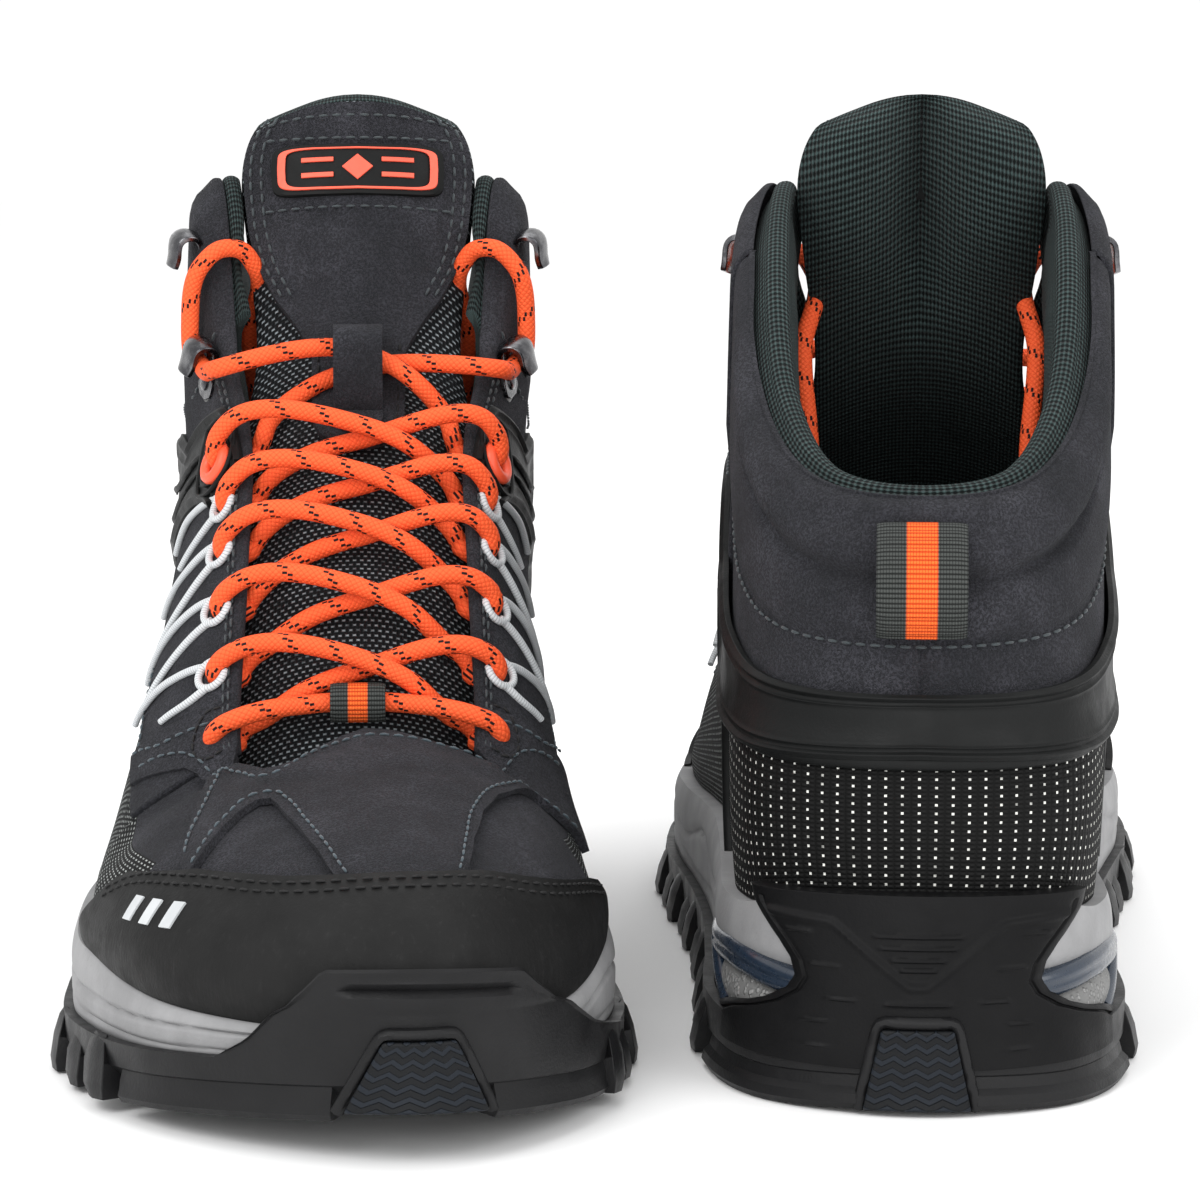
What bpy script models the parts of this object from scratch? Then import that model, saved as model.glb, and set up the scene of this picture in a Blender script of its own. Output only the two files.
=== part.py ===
"""A pair of mid-height hiking boots: the right one faces -Y and the left one faces +Y, side by side.

Each boot is modelled once in a boot frame, in millimetres: x runs from lateral (-) to medial (+),
y from the heel (0) to the toe (300), z is up from the ground. Both boots have their lateral side
towards -X, so the right boot is the left one mirrored in Y.

The upper is one surface, upper_point(u, v, offset). u runs round the foot through the STATIONS, from
the heel back (0) along the lateral side to the toe tip (11) and home along the medial side (22).
v runs from the feather edge at the sole (0) to the collar, eyestay or throat edge (1). Each layer of
the boot is a panel of that surface between two offsets along its normal.
"""

import math

import bmesh
import bpy
import numpy as np
from mathutils import Matrix, Vector

MM = 0.001
BOOT_LENGTH = 300.0
PLACES = {"right": (-61.73, -16.81), "left": (59.27, 17.19)}  # middle of each boot on the ground
FACING = {"right": -1, "left": 1}
YAW_DEG = {"right": 3.0, "left": -4.2}

GAP = 0.3  # between pieces that touch
SHELL = 1.4  # suede and mesh
OVERLAY = (1.0, 2.4)  # offsets of the rubber and plastic layers over the shell
LACE_D = 4.4
OUTSOLE_BASE = 4.5  # height of the groove floor between the lugs
OUTSOLE_TOP = 9.0
FOLD = 4.0  # where the tongue bends, along TONGUE
VAMP_SEAM = 7.97
TOE, ROUND = 11.0, 22.0
HALF_COLUMNS = [0, 0.25, 0.5, 0.75, 1, 1.25, *np.arange(1.5, 10.1, 0.5), 10.25, 10.5, 10.75, TOE]
COLUMNS = HALF_COLUMNS + [ROUND - u for u in HALF_COLUMNS[-2:0:-1]]  # shared by every piece

# (bottom, rise handle, fall handle, top) of the wall at each station
STATIONS = [
    ((0, 4, 40), (0, -5, 26), (0, -1, -30), (0, 13, 114)),  # heel back
    ((-25, 14, 39), (-4, -3, 26), (-1, 0, -30), (-22, 22, 117)),
    ((-35, 40, 37), (-3, 0, 28), (0, -2, -32), (-33, 44, 131)),  # heel side
    ((-37, 78, 35), (-2, 0, 35), (-1, -2, -42), (-36, 78, 157)),  # ankle
    ((-38.5, 104, 34), (-3, 0, 35), (-3, -6, -40), (-34, 110, 167)),  # front of the collar
    ((-41, 128, 33), (-4, 0, 24), (-8, -8, -28), (-29, 131, 138)),  # lower hook
    ((-45, 155, 31), (-5, 0, 18), (-14, -5, -18), (-23, 157, 116)),  # top eyelet
    ((-49.5, 180, 29.5), (-4, 0, 14), (-15, -4, -12), (-23, 181, 91.5)),
    ((-52, 207, 28), (-3, 1, 12), (-15, 1, -6), (-23, 209, 58)),  # throat corner
    ((-49, 238, 26), (-3, 2, 12), (-20, 12, -4), (-13, 210.5, 59.5)),
    ((-31, 274, 26), (-3, 4, 17), (-12, 36, -6), (-6, 208, 61.5)),
    ((9, 297, 28), (1, 4, 22), (3, 50, -9), (1, 206.5, 62)),  # toe tip
    ((35, 276, 26), (3, 4, 17), (16, 36, -6), (8, 208, 61.5)),
    ((45, 239, 26), (3, 2, 12), (20, 14, -4), (15, 210.5, 59.5)),
    ((44.5, 207, 28), (3, 1, 12), (15, 2, -6), (23, 209, 58)),  # medial throat corner
    ((40.5, 180, 29.5), (4, 0, 14), (13, -4, -12), (23, 181, 91.5)),
    ((36.5, 155, 31), (4, 0, 18), (12, -5, -18), (23, 157, 116)),
    ((33.5, 128, 33), (4, 0, 24), (8, -8, -28), (29, 131, 138)),
    ((33, 104, 34), (3, 0, 35), (3, -6, -40), (34, 110, 167)),
    ((34, 78, 35), (3, 0, 35), (1, -2, -42), (36, 78, 157)),  # medial ankle
    ((34.5, 40, 37), (3, 0, 28), (0, -2, -32), (33, 44, 131)),
    ((25, 14, 39), (4, -3, 26), (1, 0, -30), (22, 22, 117)),
]
# (y, z, half width, how far the sides fall back, thickness) down the tongue's outer face
TONGUE = [
    (216, 48, 20, 4.5, 5),
    (206.5, 56, 25, 6.5, 6),
    (179.5, 89, 25, 6.5, 6.5),
    (155.5, 113.5, 25, 6.5, 7),
    (134, 135, 20.5, 4, 8.5),
    (124, 156, 19.5, 4, 10),
    (118, 174, 24, 5, 11),
    (115.5, 187, 20, 6, 9),
]
# (station, v) of the lace holes, from the toe up; the last pair has plastic eyelets
EYELETS = [(7.79, 0.90), (7.45, 0.91), (7.12, 0.915), (6.72, 0.92), (6.33, 0.92), (5.95, 0.915)]
HOOKS = [(5.06, 0.93), (4.28, 0.93)]
HOOK_PLATE = (1.2, 9.0)  # thickness and width
HOOK_GAP = LACE_D + 1.6

MATERIALS = {  # name: (colour, roughness, metallic)
    "black_rubber": ((0.018, 0.018, 0.019), 0.55, 0.0),
    "navy_rubber": ((0.03, 0.045, 0.065), 0.5, 0.0),
    "grey_foam": ((0.33, 0.33, 0.34), 0.7, 0.0),
    "suede": ((0.045, 0.046, 0.053), 0.95, 0.0),
    "mesh_fabric": ((0.03, 0.031, 0.034), 0.85, 0.0),
    "padding": ((0.022, 0.037, 0.036), 0.95, 0.0),
    "stiffener": ((0.55, 0.5, 0.42), 0.8, 0.0),
    "webbing": ((0.05, 0.05, 0.05), 0.8, 0.0),
    "lace": ((0.85, 0.13, 0.04), 0.75, 0.0),
    "gunmetal": ((0.12, 0.12, 0.13), 0.3, 1.0),
    "badge": ((0.7, 0.12, 0.05), 0.6, 0.0),
}


# ---------------------------------------------------------------- curves and surfaces


def spline(keys, t, closed=False):
    """The point at t of a smooth curve through the keys, which stand at whole numbers."""
    count = len(keys)
    if not closed:
        t = min(max(t, 0.0), count - 1.0)
    i = int(math.floor(t))
    if not closed:
        i = min(i, count - 2)
    f = t - i
    if closed:
        p = [np.asarray(keys[(i + k) % count], float) for k in (-1, 0, 1, 2)]
    else:
        p = [np.asarray(keys[min(max(i + k, 0), count - 1)], float) for k in (-1, 0, 1, 2)]
        if i == 0:
            p[0] = 2 * p[1] - p[2]
        if i == count - 2:
            p[3] = 2 * p[2] - p[1]
    slope_0, slope_1 = (p[2] - p[0]) / 2, (p[3] - p[1]) / 2
    return (
        p[1] * (2 * f**3 - 3 * f**2 + 1)
        + slope_0 * (f**3 - 2 * f**2 + f)
        + p[2] * (3 * f**2 - 2 * f**3)
        + slope_1 * (f**3 - f**2)
    )


def unit(vector):
    return vector / max(np.linalg.norm(vector), 1e-9)


def level(u, keys):
    """A height or share at u, the same on both sides of the boot, from (u, value) keys on the half 0 to 11."""
    u = u % ROUND
    half = min(u, ROUND - u)
    at, values = zip(*keys)
    return float(np.interp(half, at, values))


STATION_ROWS = [np.array(station, float).ravel() for station in STATIONS]


def skin(u, v):
    """The point of the outer face of the upper, with no offset."""
    bottom, rise, fall, top = spline(STATION_ROWS, u, closed=True).reshape(4, 3)
    w = 1 - v
    return (
        w**3 * bottom
        + 3 * w**2 * v * (bottom + rise)
        + 3 * w * v**2 * (top + fall)
        + v**3 * top
    )


def skin_frame(u, v):
    """(point, outward normal, direction of growing v) on the upper."""
    step = 0.01
    along = skin(u + step, v) - skin(u - step, v)
    up = skin(u, min(v + step, 1.0)) - skin(u, min(v + step, 1.0) - 2 * step)
    return skin(u, v), unit(np.cross(up, along)), unit(up)


def upper_point(u, v, offset=0.0):
    point, normal, _ = skin_frame(u, v)
    return point + normal * offset


def feather_z(u):
    return skin(u, 0.0)[2]


def toe_spring(y):
    """How far the sole lifts off the ground towards the toe, and at the back of the heel."""
    return 8.5 * max(0.0, (y - 222) / 78) ** 1.7 + 2.0 * max(0.0, (14 - y) / 16) ** 1.5


def sole_point(u, grow, z):
    """The feather line's outline grown sideways, at height z."""
    here = skin(u, 0.0)
    along = skin(u + 0.02, 0.0) - skin(u - 0.02, 0.0)
    outward = unit(np.array([-along[1], along[0], 0.0]))
    point = here + outward * grow
    point[2] = z
    return point


def throat_point(s, q, offset=0.0):
    """A point over the throat between the eyestay edges at station s; q runs across from -1 to 1."""
    crown = 5.0
    lateral, medial = skin(s, 1.0), skin(ROUND - s, 1.0)
    lower = (skin(s + 0.05, 1.0) + skin(ROUND - s - 0.05, 1.0)) / 2
    upper = (skin(s - 0.05, 1.0) + skin(ROUND - s + 0.05, 1.0)) / 2
    across = (medial - lateral) / 2
    normal = unit(np.cross(across, lower - upper))
    return (lateral + medial) / 2 + across * q + normal * (crown * (1 - q * q) + offset)


def tongue_point(t, q, depth=0.0):
    """A point of the tongue at t down TONGUE from its root, q across it, and depth below its outer face."""
    y, z, half_width, drop, _ = spline(TONGUE, t)
    ahead, behind = spline(TONGUE, t + 0.05), spline(TONGUE, t - 0.05)
    climb = unit(np.array([0.0, ahead[0] - behind[0], ahead[1] - behind[1]]))
    normal = np.array([0.0, climb[2], -climb[1]])
    return np.array([0.0, y, z]) + np.array([half_width * q, 0, 0]) - normal * (drop * q * q + depth)


# ---------------------------------------------------------------- meshes


def make_materials():
    for name, (colour, roughness, metallic) in MATERIALS.items():
        material = bpy.data.materials.new(name)
        material.use_nodes = True
        shader = material.node_tree.nodes["Principled BSDF"]
        shader.inputs["Base Color"].default_value = (*colour, 1.0)
        shader.inputs["Roughness"].default_value = roughness
        shader.inputs["Metallic"].default_value = metallic
        material.diffuse_color = (*colour, 1.0)


def boot_to_world(side):
    """The matrix from a boot's own frame in millimetres to the pair's frame in metres."""
    to_middle = Matrix.Translation((0, -BOOT_LENGTH / 2, 0))
    facing = Matrix.Diagonal((1, FACING[side], 1, 1))
    turn = Matrix.Rotation(math.radians(YAW_DEG[side]), 4, "Z")
    place = Matrix.Translation((*PLACES[side], 0))
    return Matrix.Scale(MM, 4) @ place @ turn @ facing @ to_middle


def add_mesh(side, name, points, faces, material, smooth=True):
    """One closed solid of a boot, from its points in the boot frame and its faces."""
    mesh = bpy.data.meshes.new(f"{side}_{name}")
    mesh.from_pydata([tuple(p) for p in points], [], faces)
    mesh.transform(boot_to_world(side))
    bm = bmesh.new()
    bm.from_mesh(mesh)
    bmesh.ops.recalc_face_normals(bm, faces=bm.faces)
    bm.to_mesh(mesh)
    bm.free()
    if smooth:
        mesh.shade_smooth()
        mesh.set_sharp_from_angle(angle=math.radians(40))
    mesh.materials.append(bpy.data.materials[material])
    obj = bpy.data.objects.new(f"{side}_{name}", mesh)
    bpy.context.scene.collection.objects.link(obj)
    obj.parent = bpy.data.objects[f"{side}_boot"]
    return obj


def slab_mesh(outer, inner):
    """Points and faces of the solid between two grids of points, each [rows][columns]."""
    rows, columns = len(outer), len(outer[0])
    points = [p for row in outer for p in row] + [p for row in inner for p in row]
    half = rows * columns
    faces = []
    for r in range(rows - 1):
        for c in range(columns - 1):
            a = r * columns + c
            cell = (a, a + 1, a + columns + 1, a + columns)
            faces.append(cell)
            faces.append(tuple(half + i for i in reversed(cell)))
    top_row = (rows - 1) * columns
    rim = list(range(columns - 1))
    rim += [r * columns + columns - 1 for r in range(rows - 1)]
    rim += [top_row + c for c in range(columns - 1, 0, -1)]
    rim += [r * columns for r in range(rows - 1, 0, -1)]
    for a, b in zip(rim, rim[1:] + rim[:1]):
        faces.append((b, a, half + a, half + b))
    return points, faces


def columns_between(start, end):
    """The shared columns between two values of u, with both ends."""
    turns = [u + ROUND * k for k in (-1, 0) for u in COLUMNS]
    return [start, *(u for u in sorted(turns) if start + 0.1 < u < end - 0.1), end]


def panel(side, name, u_range, v_range, offsets, material, rows):
    """A piece of the upper: v_range gives two heights at u, and offsets the inner and outer faces at (u, v)."""
    columns = columns_between(*u_range)
    outer, inner = [], []
    for r in range(rows + 1):
        for face, grid in ((1, outer), (0, inner)):
            row = []
            for u in columns:
                low, high = v_range(u)
                v = low + (high - low) * r / rows
                row.append(upper_point(u, v, offsets(u, v)[face]))
            grid.append(row)
    return add_mesh(side, name, *slab_mesh(outer, inner), material)


def rings_mesh(rings):
    """Points and faces of stacked rings, each with its first and last ring closed by a ladder of strips."""
    count = len(rings[0])
    points = [p for ring in rings for p in ring]
    faces = []
    for r in range(len(rings) - 1):
        for i in range(count):
            j = (i + 1) % count
            faces.append((r * count + i, r * count + j, (r + 1) * count + j, (r + 1) * count + i))
    for start in (0, (len(rings) - 1) * count):
        for i in range(count // 2):
            strip = [start + i, start + i + 1, start + (count - i - 1) % count, start + (count - i) % count]
            faces.append(tuple(dict.fromkeys(strip)))
    return points, faces


def ribbon_outline(path, thickness):
    """The closed outline of a bent strip, from its centre line in a plane."""
    path = [np.array(p, float) for p in path]
    left, right = [], []
    for i, p in enumerate(path):
        along = unit(path[min(i + 1, len(path) - 1)] - path[max(i - 1, 0)])
        aside = np.array([-along[1], along[0]]) * thickness / 2
        left.append(p + aside)
        right.append(p - aside)
    return left, right


def ribbon(side, name, origin, axes, path, thickness, width, material):
    """A strip bent in the plane of the first two axes and as wide as width along the third."""
    left, right = ribbon_outline(path, thickness)
    a, b, w = axes
    grids = [
        [[origin + a * p[0] + b * p[1] + w * (k * width / 2) for p in edge] for k in (-1, 1)]
        for edge in (left, right)
    ]
    return add_mesh(side, name, *slab_mesh(*grids), material)


def cut_lace_hole(obj, cutter):
    cut = obj.modifiers.new(cutter.name, "BOOLEAN")
    cut.operation = "DIFFERENCE"
    cut.solver = "EXACT"
    cut.object = cutter


def hole_cutter(side, name, u, v):
    """A round pin through the upper, which cuts the hole for the lace."""
    point, normal, up = skin_frame(u, v)
    along = np.cross(normal, up)
    radius, sides = LACE_D / 2 + 1.0, 8
    ring = [
        (math.cos(2 * math.pi * k / sides), math.sin(2 * math.pi * k / sides)) for k in range(sides)
    ]
    points = [point + radius * (c * up + s * along) + normal * d for d in (-6, 7) for c, s in ring]
    faces = [tuple(range(sides)), tuple(range(2 * sides - 1, sides - 1, -1))]
    faces += [(k, (k + 1) % sides, sides + (k + 1) % sides, sides + k) for k in range(sides)]
    cutter = add_mesh(side, name, points, faces, "black_rubber", smooth=False)
    cutter.hide_render = True
    cutter.display_type = "WIRE"
    return cutter


# ---------------------------------------------------------------- the sole


TOE_WRAP = [(0, 1), (13, 1), (31, 0)]  # against the distance from the toe tip's x
HEEL_WRAP = [(0, 1), (23, 1), (31, 0)]  # against x
WALL_LOW = 0.1
WRAP_OVER_TOE, WRAP_OVER_HEEL = 0.04, 0.02  # v that the wraps reach on the upper
PLAN_SHARE = 0.62  # share of the climb below the feather line, where the wall is upright
WALL_GROW = {"outer": 6.0, "inner": 3.8}


def rubber_wall(u, share, face):
    """A point up the outsole's wall; share is 0 at the base plate and 1 at the top of the toe or heel wrap."""
    x, y, _ = skin(u, 0.0)
    toe = float(np.interp(abs(x - 11), *zip(*TOE_WRAP))) * (y > 200)
    heel = float(np.interp(abs(x), *zip(*HEEL_WRAP))) * (y < 100)
    climb = max(WALL_LOW, toe, heel) * share
    grow = WALL_GROW[face]
    low = OUTSOLE_TOP + toe_spring(y)
    if climb <= PLAN_SHARE:
        z = low + (feather_z(u) - low) * climb / PLAN_SHARE
        return sole_point(u, grow, z)
    v = (WRAP_OVER_TOE * toe + WRAP_OVER_HEEL * heel) * (climb - PLAN_SHARE) / (1 - PLAN_SHARE)
    return upper_point(u, v, grow + 0.1)


def outsole(side):
    """Lugged rubber plate whose wall climbs over the toe and the heel."""
    base = []
    for grow, z in ((3.8, OUTSOLE_BASE), (5.9, OUTSOLE_BASE + 2.2)):
        base.append([sole_point(u, grow, z + toe_spring(skin(u, 0.0)[1])) for u in COLUMNS])
    climb = (PLAN_SHARE / 2, PLAN_SHARE, 0.8, 1.0)
    walls = [[rubber_wall(u, share, "outer") for u in COLUMNS] for share in climb]
    walls += [[rubber_wall(u, share, "inner") for u in COLUMNS] for share in reversed(climb)]
    floor = [[sole_point(u, 2.9, OUTSOLE_TOP + toe_spring(skin(u, 0.0)[1])) for u in COLUMNS]]
    points, faces = rings_mesh(base + walls + floor)
    obj = add_mesh(side, "outsole", points, faces, "black_rubber")
    add_lugs(obj)
    return obj


def add_lugs(obj):
    """Cuts the plate's underside into a grid and draws every other cell down to the ground."""
    highest_underside, smallest_cell = 16 * MM, 60 * MM * MM
    row_pitch, taper = 9 * MM, 1.3 * MM
    bm = bmesh.new()
    bm.from_mesh(obj.data)

    def underside():
        return [f for f in bm.faces if f.normal.z < -0.9 and f.calc_center_median().z < highest_underside]

    below = underside()
    across = {e for f in below for e in f.edges if sum(g in below for g in e.link_faces) == 2}
    bmesh.ops.subdivide_edges(bm, edges=list(across), cuts=3, use_grid_fill=True)
    cells = [f for f in underside() if len(f.verts) == 4 and f.calc_area() > smallest_cell]
    cells.sort(key=lambda f: (round(f.calc_center_median().y, 4), f.calc_center_median().x))
    rows = {}
    for face in cells:
        rows.setdefault(round(face.calc_center_median().y / row_pitch), []).append(face)
    chosen = []
    for number, row in enumerate(rows[key] for key in sorted(rows)):
        row.sort(key=lambda f: f.calc_center_median().x)
        chosen += [face for place, face in enumerate(row) if (place + number) % 2 == 0]
    bmesh.ops.inset_individual(bm, faces=chosen, thickness=taper)
    for vert in {v for f in chosen for v in f.verts}:
        vert.co.z -= OUTSOLE_BASE * MM
    bm.to_mesh(obj.data)
    bm.free()


def midsole_z(u, share):
    """Height at a share of the midsole's side, from its underside to the feather line."""
    low = OUTSOLE_TOP + GAP + toe_spring(skin(u, 0.0)[1])
    return low + (feather_z(u) - 0.6 - low) * share


def midsole(side):
    """Foam tray between outsole and upper, grooved round the heel for the stabiliser."""
    narrow_grow, groove_grow = 2.4, 0.3
    bulge = [(0, 2.4), (1.5, 2.4), (3.0, 3.8), (8.8, 3.8), (9.5, 2.4), (11, 2.4)]
    groove = [(0, 1), (3.0, 1), (3.5, 0), (11, 0)]
    wall = [(0.0, 1, 0), (0.18, 1, 0), (0.24, 0, 0), (0.28, 0, 1), (0.72, 0, 1), (0.76, 0, 0), (1, 0, 0)]
    rings = []
    for share, narrow, cut in wall:
        ring = []
        for u in COLUMNS:
            depth = cut * level(u, groove)
            grow = narrow_grow if narrow else level(u, bulge) * (1 - depth) + groove_grow * depth
            ring.append(sole_point(u, grow, midsole_z(u, share)))
        rings.append(ring)
    tray_depth = 6.4
    for grow, drop in ((-5.0, 0), (-5.2, tray_depth)):
        rings.append([sole_point(u, grow, midsole_z(u, 1) - drop) for u in COLUMNS])
    return add_mesh(side, "midsole", *rings_mesh(rings), "grey_foam")


def insole_layer(side, name, grow, low, high, material):
    """A flat layer in the midsole's tray, between two heights below the feather line."""
    rings = [
        [sole_point(u, grow, feather_z(u) - drop) for u in COLUMNS] for drop in (low, high)
    ]
    return add_mesh(side, name, *rings_mesh(rings), material)


def heel_stabiliser(side):
    """Horseshoe plate in the midsole's groove."""
    columns = columns_between(-2.7, 2.7)
    shares = (0.31, 0.5, 0.69)
    outer, inner = (
        [[sole_point(u, grow, midsole_z(u, share)) for u in columns] for share in shares]
        for grow in (2.3, 0.7)
    )
    return add_mesh(side, "heel_stabiliser", *slab_mesh(outer, inner), "navy_rubber")


def tread_plug(side, name, centre, half_width, top):
    """Wedge-shaped insert on the outsole's wall at the toe or the heel."""
    outer, inner = [], []
    outer_grow, inner_grow, narrowing = 8.1, 6.5, 0.4
    for k in range(4):
        share = k / 3
        reach = half_width * (1 - narrowing * share)
        columns = [centre + reach * q for q in (-1, -0.5, 0, 0.5, 1)]
        for grow, grid in ((outer_grow, outer), (inner_grow, inner)):
            grid.append([])
            for u in columns:
                low = 1.0 + toe_spring(skin(u, 0.0)[1] + 6)
                grid[-1].append(sole_point(u, grow, low + (top - low) * share))
    return add_mesh(side, name, *slab_mesh(outer, inner), "navy_rubber")


# ---------------------------------------------------------------- the upper


def fixed(*values):
    return lambda *_: values


def shell_panels(side):
    """The outer layer, in five panels that meet edge to edge."""
    flat = fixed(-SHELL, 0.0)
    waist = 0.42
    seam = 0.012
    panel(side, "heel_panel", (-3 + seam, 3 - seam), fixed(0.0, waist - 0.005), flat, "mesh_fabric", 3)
    panel(side, "collar_panel", (-3 + seam, 3 - seam), fixed(waist, 1.0), flat, "suede", 4)
    lateral = panel(side, "quarter_lateral", (3, VAMP_SEAM), fixed(0.0, 1.0), flat, "suede", 7)
    medial_range = (ROUND - VAMP_SEAM, ROUND - 3)
    medial = panel(side, "quarter_medial", medial_range, fixed(0.0, 1.0), flat, "suede", 7)
    vamp_range = (VAMP_SEAM + seam, ROUND - VAMP_SEAM - seam)
    vamp = panel(side, "vamp", vamp_range, fixed(0.0, 1.0), flat, "suede", 7)
    return vamp, lateral, medial


def heel_band(side):
    """Moulded band round the heel whose arms climb to the top eyelets."""
    low = [(0, 0.36), (2, 0.33), (3, 0.32), (4, 0.38), (5, 0.55), (6, 0.80), (6.15, 0.83)]
    high = [(0, 0.53), (2, 0.52), (3, 0.51), (4, 0.58), (5, 0.74), (5.6, 0.96), (6.15, 0.985)]
    return panel(
        side,
        "heel_band",
        (-6.15, 6.15),
        lambda u: (level(u, low), level(u, high)),
        fixed(*OVERLAY),
        "black_rubber",
        4,
    )


def toe_cap(side):
    """Rubber cap over the front of the vamp."""
    high = [(0, 0.2), (9.0, 0.22), (9.5, 0.36), (10, 0.38), (11, 0.40)]
    return panel(
        side,
        "toe_cap",
        (9.0, ROUND - 9.0),
        lambda u: (0.01, level(u, high)),
        fixed(*OVERLAY),
        "black_rubber",
        4,
    )


def stiffeners(side):
    """Toe puff and heel counter, moulded sheets between shell and lining."""
    sheet = fixed(-3.4, -2.1)
    panel(side, "toe_puff", (9.3, ROUND - 9.3), fixed(0.03, 0.5), sheet, "stiffener", 4)
    panel(side, "heel_counter", (-2.6, 2.6), fixed(0.03, 0.5), sheet, "stiffener", 3)


def linings(side):
    """Thin lining of the forefoot, and the padded lining of heel and collar."""
    top = [(0, 0.78), (8.3, 0.78), (9.0, 0.94), (11, 0.95)]
    panel(
        side,
        "vamp_lining",
        (5.2, ROUND - 5.2),
        lambda u: (0.03, level(u, top)),
        fixed(-5.2, -4.0),
        "padding",
        5,
    )
    thick = [(0, 12), (3, 12.5), (4, 9), (4.4, 5), (11, 5)]

    def cushion(u, v):
        outer = -4.0 if v < 0.55 else -1.9
        rise = min(max((v - 0.15) / 0.5, 0.0), 1.0)
        return -5.4 + (5.4 - level(u, thick)) * rise * rise * (3 - 2 * rise), outer

    panel(side, "collar_padding", (-4.9, 4.9), fixed(0.05, 1.015), cushion, "padding", 8)


def tongue(side):
    """Padded tongue in two lengths that meet at the fold, with its suede cover, badge and lace keeper."""
    relief_deg = 9.0  # the upper length is cut back below its fold, so that it can lean backwards
    across = (-1, -0.6, 0, 0.6, 1)
    back_width, back_hollow = 0.94, 0.35

    def length(name, start, end, rows, relieved=False):
        outer, inner = [], []
        for r in range(rows + 1):
            t = start + (end - start) * r / rows
            thickness = spline(TONGUE, t)[4]
            outer.append([tongue_point(t, q) for q in across])
            inner.append(
                [tongue_point(t, q * back_width, thickness * (1 - back_hollow * q * q)) for q in across]
            )
        if relieved:
            lift = math.tan(math.radians(relief_deg))
            for front, back in zip(outer[0], inner[0]):
                back[2] += lift * np.linalg.norm(back - front)
        return add_mesh(side, name, *slab_mesh(outer, inner), "mesh_fabric")

    length("tongue_lower", 0.0, FOLD - 0.012, 8)
    length("tongue_upper", FOLD + 0.012, 7.0, 7, relieved=True)

    cover_outer, cover_inner = [], []
    for r in range(7):
        t = FOLD + 0.1 + (6.9 - FOLD - 0.1) * r / 6
        reach = 0.45 + 0.5 * min(1.0, r / 3)
        columns = [reach * k for k in (-1, -0.5, 0, 0.5, 1)]
        cover_outer.append([tongue_point(t, q, -1.7) for q in columns])
        cover_inner.append([tongue_point(t, q, -0.5) for q in columns])
    add_mesh(side, "tongue_cover", *slab_mesh(cover_outer, cover_inner), "suede")

    badge_outer, badge_inner = [], []
    badge_reach = 0.68
    for t in (5.75, 5.95, 6.15, 6.35):
        columns = [badge_reach * k for k in (-1, -0.5, 0, 0.5, 1)]
        badge_outer.append([tongue_point(t, q, -3.6) for q in columns])
        badge_inner.append([tongue_point(t, q, -2.1) for q in columns])
    add_mesh(side, "tongue_badge", *slab_mesh(badge_outer, badge_inner), "badge")


def lace_keeper(side):
    """Suede strap over the top crossing of the lace, sewn to the tongue at both ends."""
    start, end, clearance, steps = 3.22, 3.96, 12.5, 8
    thickness, width = 1.3, 12.5
    sewn = tongue_point(start, 0)
    path = []
    for k in range(steps + 1):
        share = k / steps
        point = tongue_point(start + (end - start) * share, 0, -1.2 - clearance * math.sin(math.pi * share) ** 0.8)
        path.append(((point - sewn)[1], (point - sewn)[2]))
    axes = (np.array([0, 1.0, 0]), np.array([0, 0, 1.0]), np.array([1.0, 0, 0]))
    return ribbon(side, "lace_keeper", sewn, axes, path, thickness, width, "suede")


def vamp_loop(side):
    """Webbing loop at the throat that the lowest lace passes through."""
    reach, thickness, width, open_share = LACE_D / 2 + 1.4, 0.9, 11.0, 0.12
    turn = [2 * math.pi * (open_share / 2 + (1 - open_share) * k / 12) - math.pi / 2 for k in range(13)]
    path = [(reach * math.cos(a), reach * math.sin(a)) for a in turn]
    axes = (np.array([0, 1.0, 0]), np.array([0, 0, 1.0]), np.array([1.0, 0, 0]))
    return ribbon(side, "vamp_loop", LOWEST_STRAND, axes, path, thickness, width, "webbing")


def pull_loop(side):
    """Webbing loop behind the heel, sewn flat at both ends."""
    low_v, high_v, bow, steps = 0.66, 0.94, 8.0, 10
    thickness, width = 1.3, 18.0
    path = []
    for k in range(steps + 1):
        share = k / steps
        point = upper_point(0, low_v + (high_v - low_v) * share)
        standing = 1.1 + bow * max(0.0, math.sin(math.pi * share)) ** 0.7
        path.append((point[2], -point[1] + standing))
    axes = (np.array([0, 0, 1.0]), np.array([0, -1.0, 0]), np.array([1.0, 0, 0]))
    return ribbon(side, "pull_loop", np.zeros(3), axes, path, thickness, width, "webbing")


def hook_frame(u, v):
    """(origin, up the collar, outward, along the boot) for a hook on the shell."""
    point, normal, up = skin_frame(u, v)
    return point + normal * 0.5, up, normal, np.cross(up, normal)


def lace_hook(side, name, u, v):
    """Speed hook: a riveted plate whose top curls over into a lip that opens downwards."""
    thickness, width = HOOK_PLATE
    radius = (HOOK_GAP + thickness) / 2
    middle = thickness / 2 + radius
    path = [(-8.0, thickness / 2), (-3.0, thickness / 2), (1.5, thickness / 2)]
    path += [
        (1.5 + radius * math.sin(a), middle - radius * math.cos(a))
        for a in (math.pi * k / 6 for k in range(1, 6))
    ]
    path += [(1.5, middle + radius), (-3.2, middle + radius + 0.4)]
    origin, up, outward, along = hook_frame(u, v)
    return ribbon(side, name, origin, (up, outward, along), path, thickness, width, "gunmetal")


# ---------------------------------------------------------------- the lace


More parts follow.
